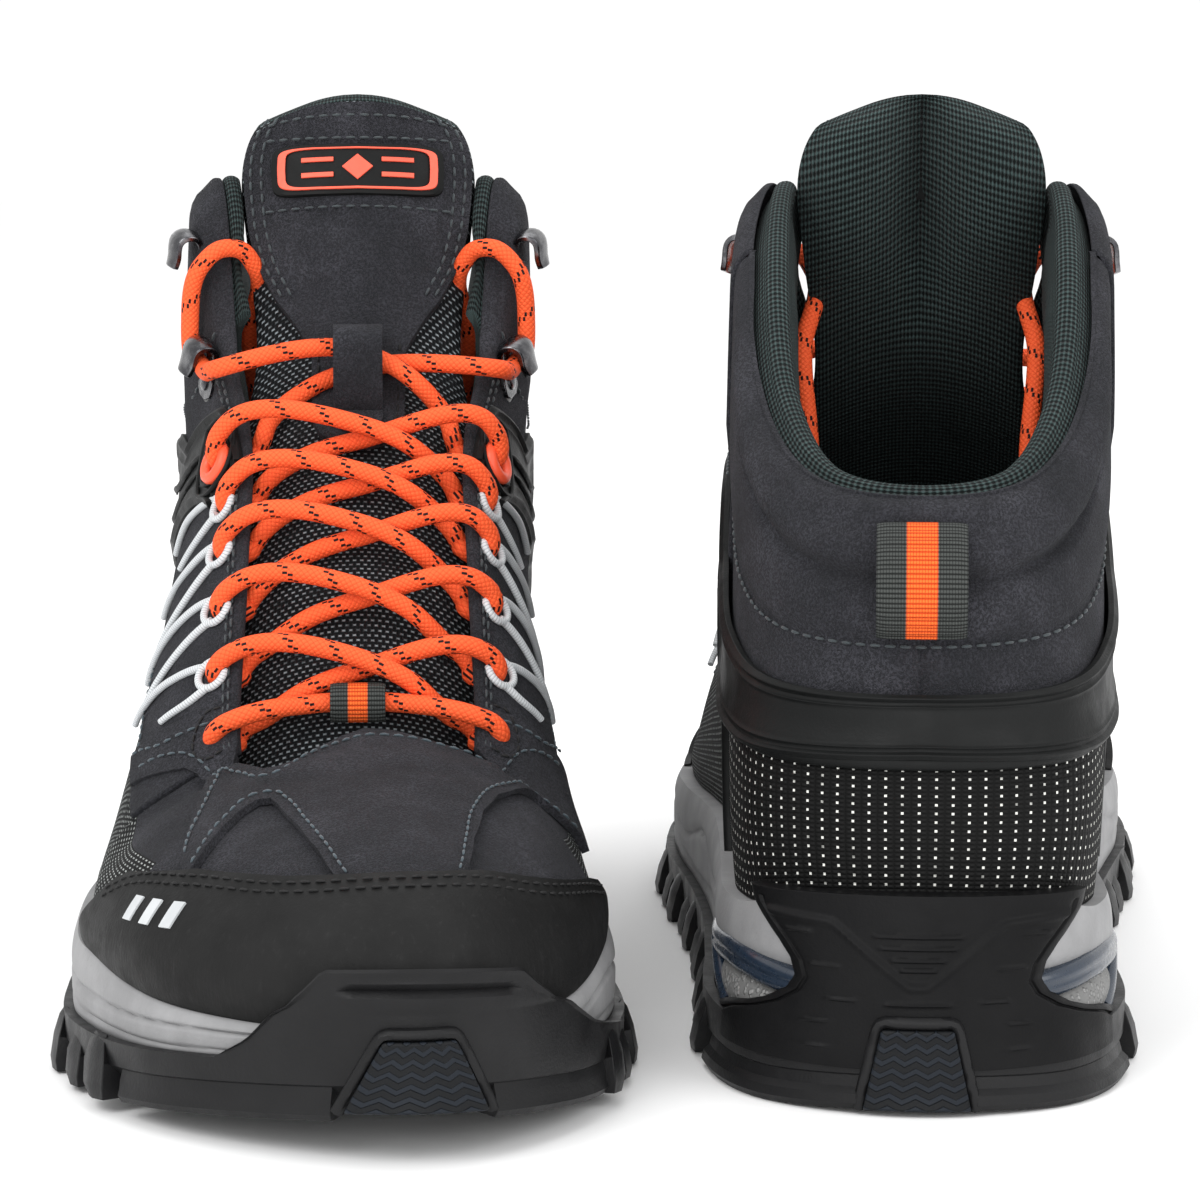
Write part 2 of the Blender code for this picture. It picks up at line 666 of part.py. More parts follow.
LOWEST_STRAND = np.array([0.0, 203.3, 67.4])  # the middle of the lace in the vamp loop
OVER, UNDER = 0.7, -4.5  # heights of the two strands where they cross, from the throat's crown
LAST_LIFT = 1.3  # how much higher they cross above the last eyelets
LACE_TAIL = [  # lateral distance, y, z from the collar down to the end on the footbed
    (24.3, 109, 135),
    (22.5, 97, 114),
    (22.5, 92, 92),
    (23.5, 94, 70),
    (24.5, 104, 52),
    (25.5, 120, 42),
    (26.5, 136, 38),
    (27, 150, 36),
]


def mirrored(u, lateral):
    return u if lateral else ROUND - u


def turn_through_hole(eyelet, lateral):
    """The lace comes over the edge, turns down through the hole and goes back under the edge."""
    s, v = EYELETS[eyelet]
    u = mirrored(s, lateral)
    over = OVERLAY[1] if eyelet == len(EYELETS) - 1 else 0.0
    top, bottom = over + LACE_D / 2 + 0.5, -SHELL - LACE_D / 2 - 0.9
    point, normal, up = skin_frame(u, v)
    radius = (top - bottom) / 2
    centre = point + normal * (top + bottom) / 2 + up * radius
    arc = []
    for k in range(5):
        a = math.pi * (0.5 - k / 4)
        arc.append(centre + radius * (math.sin(a) * normal - math.cos(a) * up))
    edge_over = upper_point(u, 1.0, top + 0.5)
    edge_under = upper_point(mirrored(s - 0.12, lateral), 1.0, bottom - 0.5)
    return [edge_over, *arc, edge_under]


def over_the_collar(lateral):
    """From the top crossing to the lower hook, through it, up and over the collar's front edge."""
    route = [upper_point(mirrored(5.42, lateral), 1.0, OVERLAY[1] + 3.2)]
    origin, up, outward, along = hook_frame(mirrored(HOOKS[0][0], lateral), HOOKS[0][1])
    forward = 1 if np.dot(along, [0, 1, 0]) > 0 else -1
    channel = origin + outward * (HOOK_PLATE[0] + HOOK_GAP / 2) - up * 0.4
    for step in (6.5, 0.0, -6.5):
        route.append(channel + along * forward * step)
    route.append(upper_point(mirrored(4.72, lateral), 0.91, 4.6))
    edge, normal, up = skin_frame(mirrored(4.66, lateral), 1.0)
    radius = 6.6
    centre = edge - normal * 2.6
    for degrees in (20, 65, 110, 155):
        a = math.radians(degrees)
        route.append(centre + radius * (math.cos(a) * normal + math.sin(a) * up))
    side = -1 if lateral else 1
    return route + [np.array([side * x, y, z]) for x, y, z in LACE_TAIL]


def lace_route():
    """The whole lace, from the tail on one side to the tail on the other."""
    halves = []
    for starts_lateral in (True, False):
        lateral = starts_lateral
        half = []
        for eyelet in range(len(EYELETS)):
            half += turn_through_hole(eyelet, lateral)
            lateral = not lateral
            s_low = EYELETS[eyelet][0]
            s_high = EYELETS[eyelet + 1][0] if eyelet + 1 < len(EYELETS) else 5.3
            middle = s_high + 0.18 * (s_low - s_high)
            lift = LAST_LIFT if eyelet == len(EYELETS) - 1 else 0.0
            half.append(throat_point(middle, 0, (OVER if lateral else UNDER) + lift))
        halves.append(half + over_the_collar(lateral))
    across = np.array([8.0, 0, 0])
    in_loop = [LOWEST_STRAND - across, LOWEST_STRAND + across]
    return halves[0][::-1] + in_loop + halves[1]


def lace(side):
    """Round cord as one tube along its route."""
    curve = bpy.data.curves.new(f"{side}_lace", "CURVE")
    curve.dimensions = "3D"
    curve.bevel_depth = LACE_D / 2 * MM
    curve.bevel_resolution = 2
    curve.use_fill_caps = True
    route = lace_route()
    line = curve.splines.new("POLY")
    line.points.add(len(route) - 1)
    to_world = boot_to_world(side)
    for knot, place in zip(line.points, route):
        knot.co = (*(to_world @ Vector(place)), 1.0)
    curve.materials.append(bpy.data.materials["lace"])
    obj = bpy.data.objects.new(f"{side}_lace", curve)
    bpy.context.scene.collection.objects.link(obj)
    obj.parent = bpy.data.objects[f"{side}_boot"]
    return obj


# ---------------------------------------------------------------- assembly


def build_boot(side):
    holder = bpy.data.objects.new(f"{side}_boot", None)
    bpy.context.scene.collection.objects.link(holder)
    outsole(side)
    midsole(side)
    heel_stabiliser(side)
    tread_plug(side, "toe_plug", TOE + 0.12, 0.36, 23)
    tread_plug(side, "heel_plug", 0.0, 0.37, 17.5)
    insole_layer(side, "lasting_board", -5.8, 6.6, 5.2, "stiffener")
    insole_layer(side, "footbed", -6.2, 4.9, 0.6, "padding")
    vamp, lateral, medial = shell_panels(side)
    band = heel_band(side)
    toe_cap(side)
    stiffeners(side)
    linings(side)
    tongue(side)
    lace_keeper(side)
    vamp_loop(side)
    pull_loop(side)
    for row, (u, v) in enumerate(HOOKS):
        for name, on_lateral in (("lateral", True), ("medial", False)):
            height = ("lower", "upper")[row]
            lace_hook(side, f"hook_{height}_{name}", mirrored(u, on_lateral), v)
    for number, (u, v) in enumerate(EYELETS):
        for name, on_lateral in (("lateral", True), ("medial", False)):
            cutter = hole_cutter(side, f"cutter_{name}_{number}", mirrored(u, on_lateral), v)
            panels = [lateral if on_lateral else medial]
            if number == len(EYELETS) - 1:
                panels.append(band)
            for obj in panels:
                cut_lace_hole(obj, cutter)
    lace(side)


def main():
    for obj in list(bpy.data.objects):
        bpy.data.objects.remove(obj, do_unlink=True)
    make_materials()
    for side in ("right", "left"):
        build_boot(side)


main()
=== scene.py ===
"""Looks of a pair of mid-height hiking boots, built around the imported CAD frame.

Every piece is made once in the boot frame of part.py, in millimetres (x lateral to medial, y heel to
toe, z up), and placed twice: the left boot as it is and the right boot mirrored.
"""

import math

import bpy
import numpy as np
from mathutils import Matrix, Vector


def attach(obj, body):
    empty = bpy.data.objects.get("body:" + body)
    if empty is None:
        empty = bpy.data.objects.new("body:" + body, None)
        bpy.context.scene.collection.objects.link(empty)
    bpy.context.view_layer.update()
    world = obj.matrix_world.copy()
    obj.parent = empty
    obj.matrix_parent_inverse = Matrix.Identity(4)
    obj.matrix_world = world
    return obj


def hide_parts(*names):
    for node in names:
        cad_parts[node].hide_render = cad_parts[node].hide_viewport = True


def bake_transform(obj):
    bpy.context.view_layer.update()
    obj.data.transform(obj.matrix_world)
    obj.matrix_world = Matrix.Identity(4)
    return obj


MM = 0.001
BOOT_LENGTH = 300.0
# where each boot stands, which way its toe points along y, and by how much it is turned
PLACES = {"right": (-61.73, -16.81), "left": (59.27, 17.19)}
FACING = {"right": -1, "left": 1}
YAW_DEG = {"right": 3.0, "left": -4.2}
SIDES = ("right", "left")
LACE_D = 4.4
LACE_LOOKS_D = 3.9
HOOK_ROOM = 4.9  # clear under a hook
OUTSOLE_BASE, OUTSOLE_TOP = 4.5, 9.0
ROUND = 22.0  # stations round the boot: u is 0 at the heel, below 11 on the lateral side, 11 at the toe
X_AXIS = np.array([1.0, 0.0, 0.0])

# (bottom, bottom's handle, top's handle, top) of the upper's wall at each station
STATIONS = np.array([
    ((0, 4, 40), (0, -5, 26), (0, -1, -30), (0, 13, 114)),
    ((-25, 14, 39), (-4, -3, 26), (-1, 0, -30), (-22, 22, 117)),
    ((-35, 40, 37), (-3, 0, 28), (0, -2, -32), (-33, 44, 131)),
    ((-37, 78, 35), (-2, 0, 35), (-1, -2, -42), (-36, 78, 157)),
    ((-38.5, 104, 34), (-3, 0, 35), (-3, -6, -40), (-34, 110, 167)),
    ((-41, 128, 33), (-4, 0, 24), (-8, -8, -28), (-29, 131, 138)),
    ((-45, 155, 31), (-5, 0, 18), (-14, -5, -18), (-23, 157, 116)),
    ((-49.5, 180, 29.5), (-4, 0, 14), (-15, -4, -12), (-23, 181, 91.5)),
    ((-52, 207, 28), (-3, 1, 12), (-15, 1, -6), (-23, 209, 58)),
    ((-49, 238, 26), (-3, 2, 12), (-20, 12, -4), (-13, 210.5, 59.5)),
    ((-31, 274, 26), (-3, 4, 17), (-12, 36, -6), (-6, 208, 61.5)),
    ((9, 297, 28), (1, 4, 22), (3, 50, -9), (1, 206.5, 62)),
    ((35, 276, 26), (3, 4, 17), (16, 36, -6), (8, 208, 61.5)),
    ((45, 239, 26), (3, 2, 12), (20, 14, -4), (15, 210.5, 59.5)),
    ((44.5, 207, 28), (3, 1, 12), (15, 2, -6), (23, 209, 58)),
    ((40.5, 180, 29.5), (4, 0, 14), (13, -4, -12), (23, 181, 91.5)),
    ((36.5, 155, 31), (4, 0, 18), (12, -5, -18), (23, 157, 116)),
    ((33.5, 128, 33), (4, 0, 24), (8, -8, -28), (29, 131, 138)),
    ((33, 104, 34), (3, 0, 35), (3, -6, -40), (34, 110, 167)),
    ((34, 78, 35), (3, 0, 35), (1, -2, -42), (36, 78, 157)),
    ((34.5, 40, 37), (3, 0, 28), (0, -2, -32), (33, 44, 131)),
    ((25, 14, 39), (4, -3, 26), (1, 0, -30), (22, 22, 117)),
], float).reshape(22, 12)
# (y, z, half width, how far the sides fall back, thickness) down the tongue's outer face
TONGUE = np.array([
    (216, 48, 20, 4.5, 5),
    (206.5, 56, 25, 6.5, 6),
    (179.5, 89, 25, 6.5, 6.5),
    (155.5, 113.5, 27, 8, 7),
    (134, 135, 22.5, 4.5, 8.5),
    (124, 156, 24.5, 7.5, 10),
    (118, 174, 26, 7.5, 11),
    (115.5, 187, 21, 7.5, 9),
], float)
# (u, v) on the lateral side, from the toe up
EYELETS = [(7.79, 0.88), (7.45, 0.885), (7.12, 0.89), (6.72, 0.895), (6.33, 0.895), (5.95, 0.89)]
HOOKS = [(5.06, 0.93), (4.28, 0.93)]


# ---------------------------------------------------------------- curves and surfaces


def spline(keys, t, closed=False):
    """Points at t of a smooth curve through the keys, which stand at whole numbers."""
    keys, t = np.asarray(keys, float), np.asarray(t, float)
    count = len(keys)
    if closed:
        i = np.floor(t).astype(int)
        p = [keys[(i + k) % count] for k in (-1, 0, 1, 2)]
    else:
        t = np.clip(t, 0, count - 1)
        i = np.minimum(np.floor(t).astype(int), count - 2)
        padded = np.concatenate([[2 * keys[0] - keys[1]], keys, [2 * keys[-1] - keys[-2]]])
        p = [padded[i + k] for k in (0, 1, 2, 3)]
    f = (t - i)[..., None]
    return hermite(f, p[1], (p[2] - p[0]) / 2, p[2], (p[3] - p[1]) / 2)


def hermite(f, start, slope_start, end, slope_end):
    return (
        start * (2 * f**3 - 3 * f**2 + 1)
        + slope_start * (f**3 - 2 * f**2 + f)
        + end * (3 * f**2 - 2 * f**3)
        + slope_end * (f**3 - f**2)
    )


def unit(vectors):
    vectors = np.asarray(vectors, float)
    return vectors / np.maximum(np.linalg.norm(vectors, axis=-1, keepdims=True), 1e-9)


def keyed(x, keys):
    """Straight lines through (x, value) keys."""
    return np.interp(x, *zip(*keys))


def eased(x, keys):
    """Like keyed, with the corners at the keys rounded."""
    spread = 0.02 * (keys[-1][0] - keys[0][0]) / len(keys)
    return sum(keyed(x + k * spread, keys) for k in (-2, -1, 0, 1, 2)) / 5


def from_heel(u):
    """How far u is from the heel's middle, round either side of the boot."""
    u = np.asarray(u, float) % ROUND
    return np.minimum(u, ROUND - u)


def level(u, keys):
    """Values at u, the same on both sides of the boot, from (u, value) keys on the half 0 to 11."""
    return eased(from_heel(u), keys)


def rise(x, start, end):
    """0 before start, 1 beyond end and straight between them; end may be the lower of the two."""
    return np.clip((x - start) / (end - start), 0, 1)


def soft(share):
    return share * share * (3 - 2 * share)


def bell(x, width):
    return np.exp(-((x / width) ** 2))


def ridge(x, middle, half):
    """A smooth bump of height 1 around middle, flat 0 from half on."""
    return np.clip(1 - ((x - middle) / half) ** 2, 0, 1) ** 2


def lengths(path):
    """The distance from the start of a path to each of its points."""
    return np.concatenate([[0], np.cumsum(np.linalg.norm(np.diff(path, axis=0), axis=-1))])


def skin(u, v):
    """Points of the outer face of the upper, with no offset."""
    u, v = np.broadcast_arrays(np.asarray(u, float), np.asarray(v, float))
    row = spline(STATIONS, u, closed=True)
    bottom, out, fall, top = np.split(row, 4, axis=-1)
    v = v[..., None]
    w = 1 - v
    return w**3 * bottom + 3 * w**2 * v * (bottom + out) + 3 * w * v**2 * (top + fall) + v**3 * top


def skin_frame(u, v):
    """(points, outward normals, directions of growing v) on the upper."""
    step = 0.01
    u, v = np.broadcast_arrays(np.asarray(u, float), np.asarray(v, float))
    along = skin(u + step, v) - skin(u - step, v)
    high = np.minimum(v + step, 1.0)
    up = skin(u, high) - skin(u, high - 2 * step)
    return skin(u, v), unit(np.cross(up, along)), unit(up)


def on_upper(u, v, offset=0.0):
    point, normal, _ = skin_frame(u, v)
    return point + normal * np.asarray(offset, float)[..., None]


def toe_spring(y):
    toe = 8.5 * np.maximum(0.0, (y - 222) / 78) ** 1.7
    return toe + 2.0 * np.maximum(0.0, (14 - y) / 16) ** 1.5


def spring_at(u):
    """The lift of the sole at u."""
    return toe_spring(skin(u, 0.0)[..., 1])


def sole_point(u, grow, z):
    """Points on the feather line's outline grown sideways, at height z."""
    u, grow, z = np.broadcast_arrays(*(np.asarray(a, float) for a in (u, grow, z)))
    along = skin(u + 0.02, 0.0) - skin(u - 0.02, 0.0)
    outward = unit(np.stack([-along[..., 1], along[..., 0], 0 * z], -1))
    point = skin(u, 0.0) + outward * grow[..., None]
    point[..., 2] = z
    return point


def throat_point(s, q, offset=0.0):
    """A point over the throat between the eyestay edges at station s; q runs across from -1 to 1."""
    crown = 5.0
    lateral, medial = skin(s, 1.0), skin(ROUND - s, 1.0)
    lower, upper = ((skin(s + d, 1.0) + skin(ROUND - s - d, 1.0)) / 2 for d in (0.05, -0.05))
    across = (medial - lateral) / 2
    normal = unit(np.cross(across, lower - upper))
    return (lateral + medial) / 2 + across * q + normal * (crown * (1 - q * q) + offset)


def tongue_point(t, q, depth=0.0):
    """Points of the tongue at t from its root, q across it, and depth below its outer face."""
    t, q, depth = np.broadcast_arrays(*(np.asarray(a, float) for a in (t, q, depth)))
    over = np.maximum(t - 7.0, 0.0)
    row = spline(TONGUE, t)
    climb = spline(TONGUE, np.minimum(t, 6.95) + 0.05) - spline(TONGUE, np.minimum(t, 6.95) - 0.05)
    climb = unit(climb[..., :2])
    normal = np.stack([0 * t, climb[..., 1], -climb[..., 0]], -1)
    up = np.stack([0 * t, climb[..., 0], climb[..., 1]], -1)
    base = np.stack([row[..., 2] * q, row[..., 0], row[..., 1]], -1)
    return base - normal * (row[..., 3] * q * q + depth)[..., None] + up * (over * 13.0)[..., None]


# ---------------------------------------------------------------- mesh parts: (points, faces, uvs)


def grid_faces(rows, columns, close_rows=False, close_columns=False):
    r = np.arange(rows if close_rows else rows - 1)
    c = np.arange(columns if close_columns else columns - 1)
    a, b = np.meshgrid(r, c, indexing="ij")
    a_next, b_next = (a + 1) % rows, (b + 1) % columns
    corners = (a * columns + b, a * columns + b_next, a_next * columns + b_next, a_next * columns + b)
    return np.stack(corners, -1).reshape(-1, 4).tolist()


def oriented(points, faces):
    """Turns the faces of a closed part outwards."""
    middle = points.mean(0)
    quads = np.array([f if len(f) == 4 else [*f[:3], f[2]] for f in faces if len(f) <= 4])
    a, b, c, d = (points[quads[:, k]] - middle for k in range(4))
    volume = np.einsum("ij,ij->", a, np.cross(b, c)) + np.einsum("ij,ij->", a, np.cross(c, d))
    return [f[::-1] for f in faces] if volume < 0 else faces


def arc_uv(grid):
    """UVs in millimetres along the two directions of a grid of points."""
    along = np.linalg.norm(np.diff(grid, axis=1), axis=-1).mean(0)
    across = np.linalg.norm(np.diff(grid, axis=0), axis=-1).mean(1)
    x = np.concatenate([[0], np.cumsum(along)])
    y = np.concatenate([[0], np.cumsum(across)])
    return np.stack(np.meshgrid(x, y), -1)


def slab(outer, inner):
    """The closed part between two grids of points, each [rows][columns]."""
    rows, columns = outer.shape[:2]
    points = np.concatenate([outer.reshape(-1, 3), inner.reshape(-1, 3)])
    count = rows * columns
    cells = grid_faces(rows, columns)
    faces = cells + [[count + i for i in reversed(cell)] for cell in cells]
    index = np.arange(count).reshape(rows, columns)
    rim = np.concatenate([index[0, :-1], index[:-1, -1], index[-1, :0:-1], index[:0:-1, 0]])
    following = np.roll(rim, -1)
    faces += np.stack([following, rim, count + rim, count + following], -1).tolist()
    uv = np.tile(arc_uv(outer).reshape(-1, 2), (2, 1))
    return points, oriented(points, faces), uv


def rings(stack, closed=False):
    """The part through stacked rings, [rings][around], which ends in flat faces or closes on itself."""
    count, around = stack.shape[:2]
    points = stack.reshape(-1, 3)
    faces = grid_faces(count, around, close_rows=closed, close_columns=True)
    if not closed:
        faces.append(list(range(around - 1, -1, -1)))
        faces.append(list(range((count - 1) * around, count * around)))
    grid = np.stack(np.meshgrid(np.arange(around) / around, np.zeros(count)), -1)
    lengths = np.linalg.norm(np.diff(stack, axis=0), axis=-1).mean(1)
    grid[..., 1] = np.concatenate([[0], np.cumsum(lengths)])[:, None]
    return points, oriented(points, faces), grid.reshape(-1, 2)


def smooth_path(points, step):
    """Points a step apart on a smooth curve through the given ones."""
    p = np.asarray(points, float)
    gaps = np.linalg.norm(np.diff(p, axis=0), axis=1)
    slopes = np.diff(p, axis=0) / gaps[:, None]
    tangents = np.empty_like(p)
    tangents[0], tangents[-1] = slopes[0], slopes[-1]
    weight = (gaps[1:] + gaps[:-1])[:, None]
    tangents[1:-1] = (slopes[:-1] * gaps[1:, None] + slopes[1:] * gaps[:-1, None]) / weight
    out = []
    for i, gap in enumerate(gaps):
        count = max(1, int(round(gap / step)))
        f = (np.arange(count) / count)[:, None]
        out.append(hermite(f, p[i], tangents[i] * gap, p[i + 1], tangents[i + 1] * gap))
    return np.concatenate([*out, p[-1:]])


def evenly(path, step):
    """The same path with points evenly spaced along it."""
    at = lengths(path)
    count = max(2, int(round(at[-1] / step)) + 1)
    want = np.linspace(0, at[-1], count)
    return np.stack([np.interp(want, at, path[:, k]) for k in range(path.shape[1])], -1)


def frames_along(path, closed=False):
    """Two normals at each point of a path, carried along it without twisting."""
    if closed:
        tangents = unit(np.roll(path, -1, 0) - np.roll(path, 1, 0))
    else:
        tangents = unit(np.gradient(path, axis=0))
    start = np.array([0.0, 0.0, 1.0])
    if abs(tangents[0] @ start) > 0.9:
        start = np.array([1.0, 0.0, 0.0])
    side = unit(np.cross(tangents[0], start))
    sides = []
    for tangent in tangents:
        side = unit(side - tangent * (side @ tangent))
        sides.append(side)
    sides = np.array(sides)
    return sides, np.cross(tangents, sides)


def tube(path, radius, sides=12, closed=False):
    """A round cord along a path, with one radius or one for each of its points."""
    a, b = frames_along(path, closed)
    turn = np.arange(sides) / sides
    wide = np.broadcast_to(np.reshape(radius, (-1, 1)), (len(path), sides))
    c, s = np.cos(2 * np.pi * turn), np.sin(2 * np.pi * turn)
    stack = path[:, None] + a[:, None] * (wide * c)[..., None] + b[:, None] * (wide * s)[..., None]
    points, faces, _ = rings(stack, closed)
    uv = np.stack(np.broadcast_arrays(turn, lengths(path)[:, None]), -1)
    return points, faces, uv.reshape(-1, 2)


def ribbon(path, across, half, thick, count, cup=0.0):
    """A strip along a path. half its width, half its thickness and its cupping may be arrays."""
    normals = unit(np.cross(unit(np.gradient(path, axis=0)), across))[:, None]
    q = np.linspace(-1, 1, count)
    shape = (len(path), count)
    thick, cup = (np.broadcast_to(value, shape)[..., None] for value in (thick, cup))
    middle = path[:, None] + across * (q * np.reshape(half, (-1, 1)))[..., None] + normals * cup
    return slab(middle + normals * thick, middle - normals * thick)


def webbing(path, width, thickness, count, rib, pitch):
    """A woven strap along a path, as wide as it is along x; rib is the height of its ribs."""
    q = np.linspace(-1, 1, count)
    at = lengths(path)[:, None]
    lift = rib * np.abs(np.sin(np.pi * at / pitch)) * (1 - q**8)
    half_thick = thickness / 2 * (1 - 0.35 * q**8) + lift
    points, faces, _ = ribbon(path, X_AXIS, width / 2, half_thick, count)
    uv = np.stack(np.broadcast_arrays(q * width / 2, at), -1).reshape(-1, 2)
    return points, faces, np.tile(uv, (2, 1))


def joined(parts):
    points, faces, uvs, base = [], [], [], 0
    for p, f, uv in parts:
        points.append(p)
        faces += [[base + i for i in face] for face in f]
        uvs.append(uv)
        base += len(p)
    return np.concatenate(points), faces, np.concatenate(uvs)


STITCH_RINGS = [(-0.8, 0.72), (0.0, 1.0), (0.8, 0.72)]


def stitch_row(path, up, pitch=2.9, length=2.1, radius=0.3):
    """A row of stitches along a path; up holds the direction away from the surface at each point."""
    both = evenly(np.concatenate([path, up], 1), pitch)
    centres, ups = both[:, :3], unit(both[:, 3:])
    tangents = unit(np.gradient(centres, axis=0))
    asides = unit(np.cross(tangents, ups))
    ups = np.cross(asides, tangents)
    around = 6
    turn = 2 * np.pi * np.arange(around) / around
    body = [(x, r * math.cos(a), r * math.sin(a)) for x, r in STITCH_RINGS for a in turn]
    template = np.array([(-1, 0, 0), *body, (1, 0, 0)])
    last = len(template) - 1
    faces = [[0, 1 + (k + 1) % around, 1 + k] for k in range(around)]
    between = grid_faces(len(STITCH_RINGS), around, close_columns=True)
    faces += [[1 + i for i in face] for face in between]
    low = last - around
    faces += [[low + k, low + (k + 1) % around, last] for k in range(around)]
    scaled = template * (length / 2, radius, radius)
    sink = radius * 0.55 * np.abs(template[:, 0]) ** 2
    points = (
        centres[:, None]
        + tangents[:, None] * scaled[None, :, 0:1]
        + asides[:, None] * scaled[None, :, 1:2]
        + ups[:, None] * (scaled[:, 2] - sink)[None, :, None]
    )
    faces = oriented(points[0], faces)
    size = len(template)
    every = [[row * size + i for i in face] for row in range(len(centres)) for face in faces]
    points = points.reshape(-1, 3)
    return points, every, points[:, :2]


# ---------------------------------------------------------------- materials


def rgb(r, g, b):
    """A colour given in the 0 to 255 numbers of a screen."""
    return tuple(((c / 255 + 0.055) / 1.055) ** 2.4 if c > 10 else c / 255 / 12.92 for c in (r, g, b))


def dim(colour, share, lift=0.0):
    return tuple(min(1.0, c * share + lift) for c in colour)


class Signal:
    """What one socket of a look's nodes gives out. Sums of signals add maths nodes."""

    def __init__(self, look, socket):
        self.look, self.socket = look, socket

    def math(self, operation, other=0.0):
        return self.look.node("ShaderNodeMath", {0: self, 1: other, 2: 0.0}, operation=operation)

    def __add__(self, other):
        return self.math("ADD", other)

    def __sub__(self, other):
        return self.math("SUBTRACT", other)

    def __rsub__(self, other):
        return self.look.node("ShaderNodeMath", {0: other, 1: self, 2: 0.0}, operation="SUBTRACT")

    def __mul__(self, other):
        return self.math("MULTIPLY", other)

    def __truediv__(self, other):
        return self.math("DIVIDE", other)

    def __mod__(self, other):
        return self.math("MODULO", other)

    def __abs__(self):
        return self.math("ABSOLUTE")

    def fract(self):
        return self.math("FRACT")

    def floor(self):
        return self.math("FLOOR")

    def sine(self):
        return self.math("SINE")

    def arches(self, pitch):
        """A row of round bumps a pitch apart, from 0 to 1."""
        return abs((self * (math.pi / pitch)).sine())


class Look:
    """A procedural material, with short names for its nodes. gloss is the specular level."""

    def __init__(self, name, colour, rough, gloss=0.5, **values):
        self.material = bpy.data.materials.new(name)
        self.material.use_nodes = True
        self.tree = self.material.node_tree
        self.sockets = self.tree.nodes["Principled BSDF"].inputs
        self.colour(colour)
        self.rough(rough)
        self.put(self.sockets["Specular IOR Level"], gloss)
        for key, value in values.items():
            self.put(self.sockets[key.replace("_", " ")], value)
        self.material.diffuse_color = (*colour, 1)

    def put(self, socket, value):
        if isinstance(value, Signal):
            self.tree.links.new(value.socket, socket)
        else:
            socket.default_value = (*value, 1) if socket.type == "RGBA" else value

    def node(self, kind, inputs, output=0, **settings):
        """Adds a node and gives the signal of one of its outputs."""
        made = self.tree.nodes.new(kind)
        for key, value in settings.items():
            setattr(made, key, value)
        for key, value in inputs.items():
            self.put(made.inputs[key], value)
        return Signal(self, made.outputs[output])

    def place(self):
        return self.node("ShaderNodeTexCoord", {}, "Object")

    def uv(self):
        pin = self.node("ShaderNodeUVMap", {}, uv_map="UVMap")
        return [self.node("ShaderNodeSeparateXYZ", {0: pin}, axis) for axis in (0, 1)]

    def noise(self, size_mm, detail=3.0, rough=0.6, stretch=(1, 1, 1)):
        """Noise whose features are about size_mm across."""
        scale = tuple(1000 / size_mm * s for s in stretch)
        scaled = self.node("ShaderNodeMapping", {0: self.place(), 3: scale})
        inputs = {0: scaled, "Scale": 1.0, "Detail": detail, "Roughness": rough}
        return self.node("ShaderNodeTexNoise", inputs, "Fac")

    def ramp(self, value, *stops):
        made = self.node("ShaderNodeValToRGB", {0: value})
        elements = made.socket.node.color_ramp.elements
        while len(elements) < len(stops):
            elements.new(0.5)
        for element, (at, colour) in zip(elements, stops):
            element.position = at
            element.color = (*colour, 1)
        return made

    def mix(self, share, a, b):
        return self.node("ShaderNodeMix", {0: share, 6: a, 7: b}, 2, data_type="RGBA")

    def span(self, value, low, high, to_low=0.0, to_high=1.0):
        """The value moved from one range to another, clamped, with soft ends."""
        inputs = {0: value, 1: low, 2: high, 3: to_low, 4: to_high}
        return self.node("ShaderNodeMapRange", inputs, interpolation_type="SMOOTHSTEP")

    def fade(self, value, low, high, a, b, most=1.0):
        """From colour a, where value is at low, towards b, where it's at high."""
        return self.mix(self.span(value, low, high, 0.0, most), a, b)

    def colour(self, value):
        self.put(self.sockets["Base Color"], value)

    def rough(self, value):
        self.put(self.sockets["Roughness"], value)

    def bumped(self, *layers):
        """Adds the layers of (height, depth in mm) and gives the finished material."""
        last = None
        for height, depth in layers:
            inputs = {"Height": height, "Distance": depth * MM, "Strength": 1.0}
            if last:
                inputs["Normal"] = last
            last = self.node("ShaderNodeBump", inputs)
        self.put(self.sockets["Normal"], last)
        return self.material


def make_suede(name):
    look = Look(name, rgb(46, 46, 51), 0.95, 0.12, Sheen_Weight=0.05, Sheen_Roughness=0.5)
    grain = look.noise(0.5, 3, 0.7)
    stops = ((0.3, rgb(46, 47, 52)), (0.52, rgb(59, 59, 65)), (0.75, rgb(78, 78, 85)))
    base = look.ramp(look.noise(14, 4, 0.62), *stops)
    dark = look.fade(grain, 0.36, 0.66, base, rgb(20, 21, 24), 0.9)
    look.colour(look.fade(look.noise(0.5, 2), 0.6, 0.78, dark, rgb(104, 105, 112), 0.35))
    return look.bumped((grain, 0.6), (look.noise(0.25, 2), 0.15))


def make_flecked_mesh(name, dark, pitch, row, fleck, wide, tall, stagger=0.5):
    """Woven mesh with pale flecks in rows, laid out on the UVs in millimetres."""
    look = Look(name, dark, 0.78, 0.15)
    u, v = look.uv()
    shift = (v / row).floor() % 2.0 * stagger
    dx = abs((u / pitch + shift).fract() - 0.5)
    dy = abs((v / row).fract() - 0.5)
    narrow = look.span(dx, wide * 0.75, wide * 1.1, 1.0, 0.0)
    flat = look.span(dy, tall * 0.7, tall * 1.1, 1.0, 0.0)
    inside = narrow * flat
    worn = look.span(look.noise(2.6, 2), 0.3, 0.55, 0.25, 1.0)
    weave = u.arches(pitch / 2) * v.arches(row / 2)
    cloth = look.mix(weave, dim(dark, 0.45), dim(dark, 1.7))
    look.colour(look.mix(inside * worn, cloth, fleck))
    return look.bumped((weave, 0.28), (inside, 0.12))


